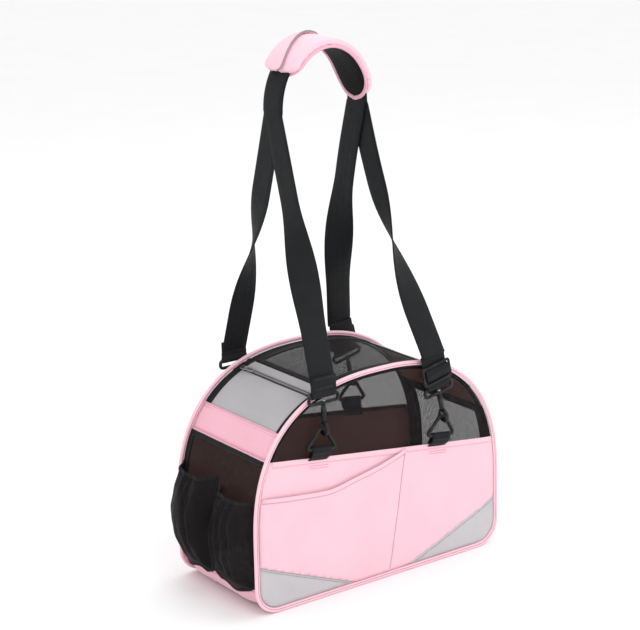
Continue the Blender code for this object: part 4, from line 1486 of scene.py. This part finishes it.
# ---------------------------------------------------------------- straps and hardware
@dataclass(frozen=True)
class Rig:
    """Where the tabs, rings, hooks and straps are."""

    shape: Shape
    tab_x: float = 0.117
    tab_y: float = 0.1165
    hook_y: float = 0.1196
    tab_rise: float = 0.0165
    ring_height: float = 0.031
    right_lean: float = math.radians(-12)
    strap_foot: float = 0.0575
    eye_height: float = 0.049
    web_width: float = 0.046
    tab_width: float = 0.036
    web: float = 0.002
    arch_x: float = -0.033
    arch_z: float = 0.748
    arch_half: float = 0.079
    arch_rise: float = 0.098

    @property
    def slant(self) -> float:
        """Lean of the tabs and rings."""
        return math.atan(-self.shape.trim_slope)

    def bar(self, end: End, side: Side) -> Vector:
        """Middle of a ring's lower bar."""
        x = end.value * self.tab_x - self.ring_height * math.sin(self.slant)
        return Vector((x, side.value * self.tab_y, self.shape.trim(x) + self.tab_rise))

    def ring_seat(self, end: End, side: Side) -> Matrix:
        """Stands a ring, made about its lower bar, in its place."""
        return Matrix.Translation(self.bar(end, side)) @ Matrix.Rotation(self.slant, 4, "Y")

    def hook_seat(self, end: End, side: Side) -> Matrix:
        """Stands a piece, made about the ring's top bar, in its place on a hook's axis."""
        height = self.bar(end, side).z + self.ring_height * math.cos(self.slant)
        spot = Vector((end.value * self.tab_x, side.value * self.hook_y, height))
        lean = self.right_lean if end is End.RIGHT else 0.0
        return Matrix.Translation(spot) @ Matrix.Rotation(lean, 4, "Y")

    def leg(self, end: End, side: Side, stack: float) -> list[Vector]:
        """Centreline of one leg, from its eye up to where the arch starts."""
        seat = self.hook_seat(end, side)
        straight = 0.062 if end is End.RIGHT else 0.014
        marks = [seat @ Vector((0, 0, self.strap_foot + straight * part)) for part in (0, 0.4, 0.8, 1)]
        start = marks[-1]
        top = Vector((self.arch_x + end.value * (self.arch_half + stack), 0, self.arch_z))
        for part in (0.72, 0.48, 0.24):
            x = top.x + (start.x - top.x) * part ** 2.2
            marks.append(Vector((x, start.y * part, top.z + (start.z - top.z) * part)))
        return smooth_line([*marks, top], 8)

    def leg_stations(self, end: End, side: Side, stack: float) -> list[Matrix]:
        """Stations of one leg, which makes a quarter turn on its way up."""
        path, made = self.leg(end, side, stack), []
        for before, point, after in zip([path[0], *path], path, path[1:]):
            spread = math.radians(90) * ease((point.z - 0.42) / 0.20)
            width = Vector((math.cos(spread), -side.value * end.value * math.sin(spread), 0))
            made.append(station(point, (after - before).normalized(), width))
        return made

    def arch(self, angle: float, y: float, height: float) -> Vector:
        """A point on the arch over the shoulder, so high above the webbing."""
        across, up = math.cos(angle), math.sin(angle)
        normal = Vector((across / self.arch_half, 0, up / self.arch_rise)).normalized()
        centre = Vector((self.arch_x + self.arch_half * across, y, self.arch_z + self.arch_rise * up))
        return centre + normal * height

    def strap_stations(self, side: Side) -> list[Matrix]:
        """Stations of a whole strap from its left eye to its right one."""
        stack = -0.0013 * side.value
        made = self.leg_stations(End.LEFT, side, stack)
        for step in range(41):
            angle = math.radians(180 - 4.5 * step)
            across, up = math.cos(angle), math.sin(angle)
            along = Vector((self.arch_half * up, 0, -self.arch_rise * across)).normalized()
            made.append(station(self.arch(angle, 0, stack), along, Vector((0, side.value, 0))))
        half_turn = Matrix.Rotation(math.pi, 4, "Y")
        right = self.leg_stations(End.RIGHT, side, stack)
        return [*made, *[s @ half_turn for s in right[::-1]]]


@dataclass(frozen=True)
class Strap:
    """One webbing strap with its tabs, rings, hooks, eyes and slide adjuster."""

    rig: Rig
    side: Side

    @property
    def loop_body(self) -> str:
        """The body that the strap swings with."""
        return f"{self.side.word}_strap_loop"

    def build(self) -> None:
        """Makes the webbing and the hardware at its two ends."""
        rig, word = self.rig, self.side.word
        section = tape_section(rig.web_width, rig.web)
        body = sweep(section, rig.strap_stations(self.side))
        put(f"{word}_webbing", body, WEBBING, self.loop_body, f"{word}_strap")
        for end in End:
            self.tab(end)
            self.ring(end)
            self.hook(end)
            self.gate(end)
            self.eye(end)
            self.sewn_end(end)
        self.adjuster()

    def tab(self, end: End) -> None:
        """The doubled webbing that holds a ring, with a box of stitches."""
        rig, sign = self.rig, self.side.value
        seat = rig.ring_seat(end, self.side)
        outer = 0.0037
        arc = [Vector((0, sign * outer * math.cos(a), outer * math.sin(a)))
               for a in (math.pi * step / 10 for step in range(11))]
        outer_leg = ((-0.0098, -0.0250), (-0.0060, -0.0185), (0.0012, -0.0115), (0.0034, -0.0050))
        inner_leg = ((-0.0040, -0.0050), (-0.0066, -0.0115), (-0.0092, -0.0185), (-0.0118, -0.0250))
        line = [*[Vector((0, sign * y, z)) for y, z in outer_leg], *arc,
                *[Vector((0, sign * y, z)) for y, z in inner_leg]]
        stations = [seat @ s for s in rail(smooth_line(line, 3), Vector((1, 0, 0)))]
        name = f"{self.side.word}_tab_webbing_{end.word}"
        put(name, sweep(tape_section(rig.tab_width, 0.0014), stations), WEBBING, "bag",
            f"{self.side.word}_tab_{end.word}")
        rows = []
        for y, z in ((0.0041, -0.0062), (0.0035, -0.0082)):
            line = [seat @ Vector((x / 1000, sign * y, z)) for x in range(-16, 17, 2)]
            rows.append(stitch_row(line, 0.0026, 0.0004))
        put(f"{self.side.word}_tab_rows_{end.word}", merge(rows), BLACK_THREAD, "bag")

    def ring(self, end: End) -> None:
        """The triangular ring."""
        half, top, height = self.rig.web_width / 2 + 0.0056, 0.0045, self.rig.ring_height
        line = rounded_line(((-half, 0), (half, 0), (top, height), (-top, height)), 0.0032, 6)
        seat = self.rig.ring_seat(end, self.side)
        stations = [seat @ s for s in rail(line, Vector((0, 1, 0)), True)]
        section = round_section(0.0030, 12)
        put(f"{self.side.word}_ring_moulding_{end.word}", sweep(section, stations, True), PLASTIC,
            self.loop_body, f"{self.side.word}_ring_{end.word}")

    def hook(self, end: End) -> None:
        """The snap hook: swivel head, collar, stem and tapering bend."""
        sign, seat = self.side.value, self.rig.hook_seat(end, self.side)
        radius, centre = 0.0085, 0.0018
        turns = [math.radians(angle) for angle in range(90, -200, -12)]
        bend = [Vector((0, sign * radius * math.cos(a), centre + 1.1 * radius * math.sin(a)))
                for a in turns]
        line = [*[Vector((0, 0, z)) for z in (0.030, 0.024, 0.018, 0.0145)], *bend]
        stations = []
        for index, place in enumerate(rail(line, Vector((1, 0, 0)))):
            part = index / (len(line) - 1)
            grow = 1.12 - 0.38 * ease((part - 0.25) / 0.75)
            stations.append(seat @ place @ Matrix.Diagonal((grow * 1.08, grow, 1, 1)))
        hook = sweep(round_section(0.0032, 14), stations)
        profile = ((0.0405, 0.0001), (0.0405, 0.0030), (0.0395, 0.0036), (0.0372, 0.0036),
                   (0.0364, 0.0026), (0.0352, 0.0026), (0.0346, 0.0040), (0.0335, 0.0044),
                   (0.0285, 0.0044), (0.0262, 0.0038), (0.0245, 0.0030), (0.0235, 0.0001))
        collar = turned_piece(profile, seat)
        put(f"{self.side.word}_hook_moulding_{end.word}", merge([hook, collar]), PLASTIC,
            self.loop_body, f"{self.side.word}_hook_{end.word}")
        post = turned_piece(((0.0480, 0.0001), (0.0478, 0.0024), (0.0466, 0.0030), (0.0456, 0.0030),
                             (0.0452, 0.0020), (0.0400, 0.0020), (0.0398, 0.0001)), seat)
        put(f"{self.side.word}_swivel_post_{end.word}", post, STEEL, self.loop_body)

    def gate(self, end: End) -> None:
        """The sprung gate with its thumb nub."""
        sign, seat = self.side.value, self.rig.hook_seat(end, self.side)
        foot = Vector((0, sign * -0.0083, 0.0075))
        top = Vector((0, sign * -0.0046, 0.0106))
        low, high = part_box(f"{self.side.word}_hook_{end.word}_gate")
        local = seat.inverted()
        corners = [local @ Vector((low.x, y, z)) for y in (low.y, high.y) for z in (low.z, high.z)]
        heights = [corner.z for corner in corners]
        foot.z, top.z = min(heights) + 0.001, max(heights) - 0.001
        line = [foot, foot.lerp(top, 0.5) + Vector((0, sign * -0.0003, 0)), top]
        stations = [seat @ s for s in rail(smooth_line(line, 4), Vector((1, 0, 0)))]
        gate = sweep(round_section(0.0015, 10, 0.8), stations)
        nub = foot.lerp(top, 0.35) + Vector((0, sign * -0.0016, 0.0))
        bmesh.ops.create_uvsphere(gate, u_segments=10, v_segments=6, radius=0.0013,
                                  matrix=seat @ Matrix.Translation(nub))
        put(f"{self.side.word}_gate_moulding_{end.word}", gate, PLASTIC,
            f"{self.side.word}_gate_{end.word}", f"{self.side.word}_hook_{end.word}_gate")

    def eye(self, end: End) -> None:
        """The rounded oblong that the webbing is sewn round."""
        half, rise = self.rig.web_width / 2 + 0.004, 0.006
        height = self.rig.eye_height
        line = rounded_line(oblong(half, height, rise), 0.0050, 6)
        seat = self.rig.hook_seat(end, self.side)
        stations = [seat @ s for s in rail(line, Vector((0, 1, 0)), True)]
        ring = sweep(round_section(0.0027, 12), stations, True)
        boss = turned_piece(((0.0462, 0.0001), (0.0460, 0.0034), (0.0450, 0.0038), (0.0412, 0.0038),
                             (0.0404, 0.0030), (0.0402, 0.0001)), seat)
        put(f"{self.side.word}_eye_moulding_{end.word}", merge([ring, boss]), PLASTIC, self.loop_body,
            f"{self.side.word}_eye_{end.word}")

    def sewn_end(self, end: End) -> None:
        """The webbing's tail, round the eye's top bar and sewn back on itself."""
        sign, seat, rig = self.side.value, self.rig.hook_seat(end, self.side), self.rig
        bar = rig.eye_height + 0.006
        tail = 0.030 if end is End.LEFT else 0.014
        run = ((1.9, tail), (1.9, 0.010), (3.1, 0.003), (3.4, 0.0), (2.2, -0.0026), (0.0, -0.0034),
               (-2.2, -0.0026), (-3.3, 0.0), (-2.2, 0.0034), (-0.2, 0.0075), (0.0, 0.011))
        points = [Vector((0, sign * y / 1000, bar + z)) for y, z in run]
        stations = [seat @ s for s in rail(smooth_line(points, 3), Vector((1, 0, 0)))]
        body = sweep(tape_section(rig.web_width - 0.0006, 0.0015), stations)
        put(f"{self.side.word}_sewn_end_{end.word}", body, WEBBING, self.loop_body)
        rows = []
        for rise in (0.0105, 0.0125, tail - 0.002, tail - 0.004):
            spots = [seat @ Vector((x / 1000, sign * 0.0028, bar + rise)) for x in range(-17, 18, 2)]
            rows.append(stitch_row(spots, 0.0026, 0.0004))
        put(f"{self.side.word}_sewn_rows_{end.word}", merge(rows), BLACK_THREAD, self.loop_body)

    def adjuster(self) -> None:
        """The slide adjuster: a frame with a middle bar, and the webbing that passes over the bar."""
        rig, sign, seat = self.rig, self.side.value, self.rig.hook_seat(End.RIGHT, self.side)
        rides, word = f"{self.side.word}_slide_adjuster", self.side.word
        middle, half, rise = rig.strap_foot + 0.021, rig.web_width / 2 + 0.003, 0.014
        out = sign * 0.0039
        frame_line = rounded_line(oblong(half, middle, rise), 0.0030, 4)
        line = [p + Vector((0, out, 0)) for p in frame_line]
        stations = [seat @ s for s in rail(line, Vector((0, 1, 0)), True)]
        parts = [sweep(round_section(0.0022, 12), stations, True)]
        for z in (middle - 0.0018, middle + 0.0030):
            bar = [Vector((x / 1000, out, z)) for x in range(-22, 23, 4)]
            stations = [seat @ s for s in rail(bar, Vector((0, 0, 1)))]
            parts.append(sweep(round_section(0.0020, 10, 0.8), stations))
        put(f"{word}_adjuster_moulding", merge(parts), PLASTIC, rides, f"{word}_adjuster")
        run = ((2.6, -0.0115), (3.4, -0.0092), (5.8, -0.0060), (7.6, -0.0015), (7.6, 0.0030),
               (5.6, 0.0072), (3.2, 0.0098), (2.6, 0.0115))
        points = [Vector((0, sign * y / 1000, middle + z)) for y, z in run]
        stations = [seat @ s for s in rail(smooth_line(points, 4), Vector((1, 0, 0)))]
        body = sweep(tape_section(rig.web_width - 0.001, 0.0015), stations)
        put(f"{word}_adjuster_webbing", body, WEBBING, rides)


def turned_piece(profile: Sequence[tuple[float, float]], seat: Matrix) -> bmesh.types.BMesh:
    """A lathe-turned piece: heights and radii spun round a seat's Z axis."""
    body = bmesh.new()
    verts = [body.verts.new((radius, 0, height)) for height, radius in profile]
    edges = [body.edges.new(pair) for pair in zip(verts, verts[1:])]
    bmesh.ops.spin(body, geom=[*verts, *edges], cent=(0, 0, 0), axis=(0, 0, 1), angle=FULL,
                   steps=16, use_merge=True)
    bmesh.ops.remove_doubles(body, verts=body.verts, dist=0.00015)
    bmesh.ops.recalc_face_normals(body, faces=body.faces)
    bmesh.ops.transform(body, matrix=seat, verts=body.verts)
    return body


@dataclass(frozen=True)
class ShoulderPad:
    """The wrap pad: a padded cover with a curved flap, and a non-slip lining with bound edges."""

    rig: Rig
    half: float = 0.0375
    start: float = math.radians(146)
    stop: float = math.radians(2)

    def angle(self, v: float) -> float:
        """The angle round the arch for a share along the pad."""
        return self.start + (self.stop - self.start) * v

    def oval(self, v: float, left: float = 0.10, right: float = 0.20) -> float:
        """Half the pad's width for a share along it, with rounded ends."""
        def cap(share: float) -> float:
            """A quarter of an ellipse."""
            return math.sqrt(max(1 - (1 - min(share, 1.0)) ** 2, 0.0))
        return self.half * max(min(cap(v / left), cap((1 - v) / right)), 0.05)

    def build(self) -> None:
        """Makes the lining, its binding, the cover and the flap."""
        inside = Vector((self.rig.arch_x, 0, self.rig.arch_z - 0.05))
        self.lining()
        self.cover(inside)
        self.flap(inside)

    def lining(self) -> None:
        """The lens-shaped lining under the straps, with a pink binding round its edge."""
        rig = self.rig

        def low(u: float, v: float) -> Vector:
            """The face that rests on the shoulder."""
            y = (2 * u - 1) * self.oval(v)
            crown = 1 - (2 * u - 1) ** 4
            return rig.arch(self.angle(v), y, -0.0048 - 0.0034 * crown * ease(min(v, 1 - v) / 0.08))
        body = grid_cloth(20, 60, low, Vector((rig.arch_x, 0, rig.arch_z + 0.3)))
        piece = put("pad_grip_lining", body, GRIP, "front_strap_loop", "pad_lining")
        thicken(piece, 0.0016)
        edge = [rig.arch(self.angle(v / 60), -self.oval(v / 60), -0.0046) for v in range(61)]
        edge += [rig.arch(self.angle(v / 60), self.oval(v / 60), -0.0046) for v in range(60, -1, -1)]
        ring = spaced([*edge, edge[0]], 160)[:-1]
        stations = []
        for index, point in enumerate(ring):
            along = (ring[(index + 1) % len(ring)] - ring[index - 1]).normalized()
            centre = Vector((rig.arch_x, 0, rig.arch_z))
            stations.append(station(point, along, (point - centre).cross(along).normalized()))
        bead = sweep(round_section(0.0034, 10, 0.72), stations, True)
        # The binding is drawn in the shaded pink: painted shade under the pad.
        put("pad_binding", bead, SHADED_PINK, "front_strap_loop")

    def cover(self, inside: Vector) -> None:
        """The padded cover, folded round the front edge and over both straps."""
        rig = self.rig

        def point(u: float, v: float) -> Vector:
            """Up the front edge for the first part of u, then over the straps."""
            width = self.oval(v, 0.05, 0.16)
            turn = min(u / 0.16, 1.0)
            across = max((u - 0.16) / 0.84, 0.0)
            y = -width - 0.0012 * math.sin(math.pi * turn) + 2 * width * across
            rise = -0.0032 + 0.0094 * ease(turn) + 0.0016 * math.sin(math.pi * across)
            return rig.arch(self.angle(0.004 + 0.992 * v), y, rise)
        body = grid_cloth(34, 64, point, inside)
        bmesh.ops.solidify(body, geom=body.faces, thickness=0.0030)
        bmesh.ops.recalc_face_normals(body, faces=body.faces)
        piece = put("pad_cover_cloth", body, PINK, "front_strap_loop", "pad_cover")
        puff(piece, voxel=0.0022, cap=0.0016)

    def flap(self, inside: Vector) -> None:
        """The flap that closes over the cover, with an S-shaped free edge."""
        rig = self.rig

        def point(u: float, v: float) -> Vector:
            """The flap's point: u from its free edge to the pad's rear edge, v along the pad."""
            along = 0.004 + 0.56 * v
            edge = 0.30 + 0.66 * (0.35 * v + 0.65 * ease(v))
            across = edge + (1 - edge) * u
            width = self.oval(along, 0.05, 0.16) + 0.0022
            lift = 0.0096 + 0.0016 * math.sin(math.pi * across) + 0.0014 * ease(1 - u / 0.35)
            drop = 0.0085 * (1 - ease((1 - across) / 0.08))
            return rig.arch(self.angle(along), (2 * across - 1) * width, lift - drop)
        body = grid_cloth(40, 36, point, inside)
        bmesh.ops.solidify(body, geom=body.faces, thickness=0.0018)
        bmesh.ops.recalc_face_normals(body, faces=body.faces)
        piece = put("pad_flap", body, PINK, "front_strap_loop")
        # The bead along the free edge is grey: painted shadow of the gap under the flap.
        rim = [point(0.0, step / 50) for step in range(51)]
        bead = sweep(round_section(0.0013, 8, 0.8), rail(rim, Vector((0, 0, 1))))
        put("pad_flap_binding_shadow", bead, GREY_TAPE_AND_EDGE_SHADOW, "front_strap_loop")


@dataclass(frozen=True)
class ZipSlider:
    """The roof zip's slider and pull, from the frame, in bright metal."""

    def build(self) -> None:
        """Dresses the two CAD pieces."""
        for node in ("roof_zip_slider", "roof_zip_pull"):
            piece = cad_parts[node]
            piece.data.materials.clear()
            piece.data.materials.append(STEEL.material())


# ---------------------------------------------------------------- studio
@dataclass(frozen=True)
class Studio:
    """Camera, soft lights and pale floor."""

    aim: tuple[float, float, float] = (-0.1106, -0.1065, 0.4555)
    azimuth: float = math.radians(-36.0)
    height: float = math.radians(16.0)
    tilt: float = math.radians(-1.2)
    distance: float = 2.85
    lens: float = 107.6

    def build(self) -> None:
        """Sets the studio up."""
        scene = bpy.context.scene
        scene.view_settings.view_transform = "Standard"
        lens = bpy.data.cameras.new("camera")
        lens.lens, lens.sensor_width = self.lens, 36
        lens.clip_end = 60
        camera = bpy.data.objects.new("camera", lens)
        level = math.cos(self.height)
        back = Vector((math.sin(self.azimuth) * level, -math.cos(self.azimuth) * level,
                       math.sin(self.height)))
        camera.location = Vector(self.aim) + back * self.distance
        upright = (-back).to_track_quat("-Z", "Y").to_matrix()
        camera.rotation_euler = (upright @ Matrix.Rotation(self.tilt, 3, "Z")).to_euler()
        scene.collection.objects.link(camera)
        scene.camera = camera
        world = bpy.data.worlds.new("studio")
        world.use_nodes = True
        sky = world.node_tree.nodes["Background"]
        sky.inputs["Color"].default_value = (1, 1, 1, 1)
        sky.inputs["Strength"].default_value = 1.0
        scene.world = world
        self.lamp("key", (-0.6, -2.6, 2.6), 1.8, 26)
        self.lamp("fill", (2.4, -1.2, 1.6), 1.6, 10)
        self.lamp("top", (0.2, 0.6, 3.0), 2.2, 16)
        self.floor()

    def lamp(self, name: str, at: tuple[float, float, float], size: float, power: float) -> None:
        """Adds a square soft light that looks at the bag.

        Args:
            name: the light's name.
            at: where it is.
            size: its side.
            power: in watts.
        """
        data = bpy.data.lights.new(name, "AREA")
        data.energy, data.size = power, size
        lamp = bpy.data.objects.new(name, data)
        lamp.location = at
        lamp.rotation_euler = (Vector((0, 0, 0.25)) - Vector(at)).to_track_quat("-Z", "Y").to_euler()
        bpy.context.scene.collection.objects.link(lamp)

    def floor(self) -> None:
        """A wide pale floor that isn't part of the bag."""
        body = bmesh.new()
        bmesh.ops.create_grid(body, x_segments=2, y_segments=2, size=12)
        mesh = bpy.data.meshes.new("floor")
        body.to_mesh(mesh)
        body.free()
        mesh.materials.append(FLOOR.material())
        floor = bpy.data.objects.new("floor", mesh)
        bpy.context.scene.collection.objects.link(floor)


def main() -> None:
    """Builds the bag's looks in order."""
    logging.basicConfig(level=logging.INFO, format="%(name)s: %(message)s")
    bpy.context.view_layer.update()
    Studio().build()
    shape = Shape.measured()
    for side in Side:
        LongSide(shape, side).build()
    SlipPocket(shape, LongSide(shape, Side.FRONT)).build()
    for end in End:
        EndWall(shape, end).build()
    EndWindow(shape).build()
    MeshPocket(shape, "front", -0.1005, -0.006, 0.181, seed=1.0).build()
    MeshPocket(shape, "rear", 0.006, 0.1040, 0.190, fullness=0.036, seed=5.0).build()
    Roof(shape).build()
    EndDoor(shape).build()
    Floor(shape).build()
    rig = Rig(shape)
    for side in Side:
        Strap(rig, side).build()
    ShoulderPad(rig).build()
    ZipSlider().build()


if __name__ == "__main__":
    main()
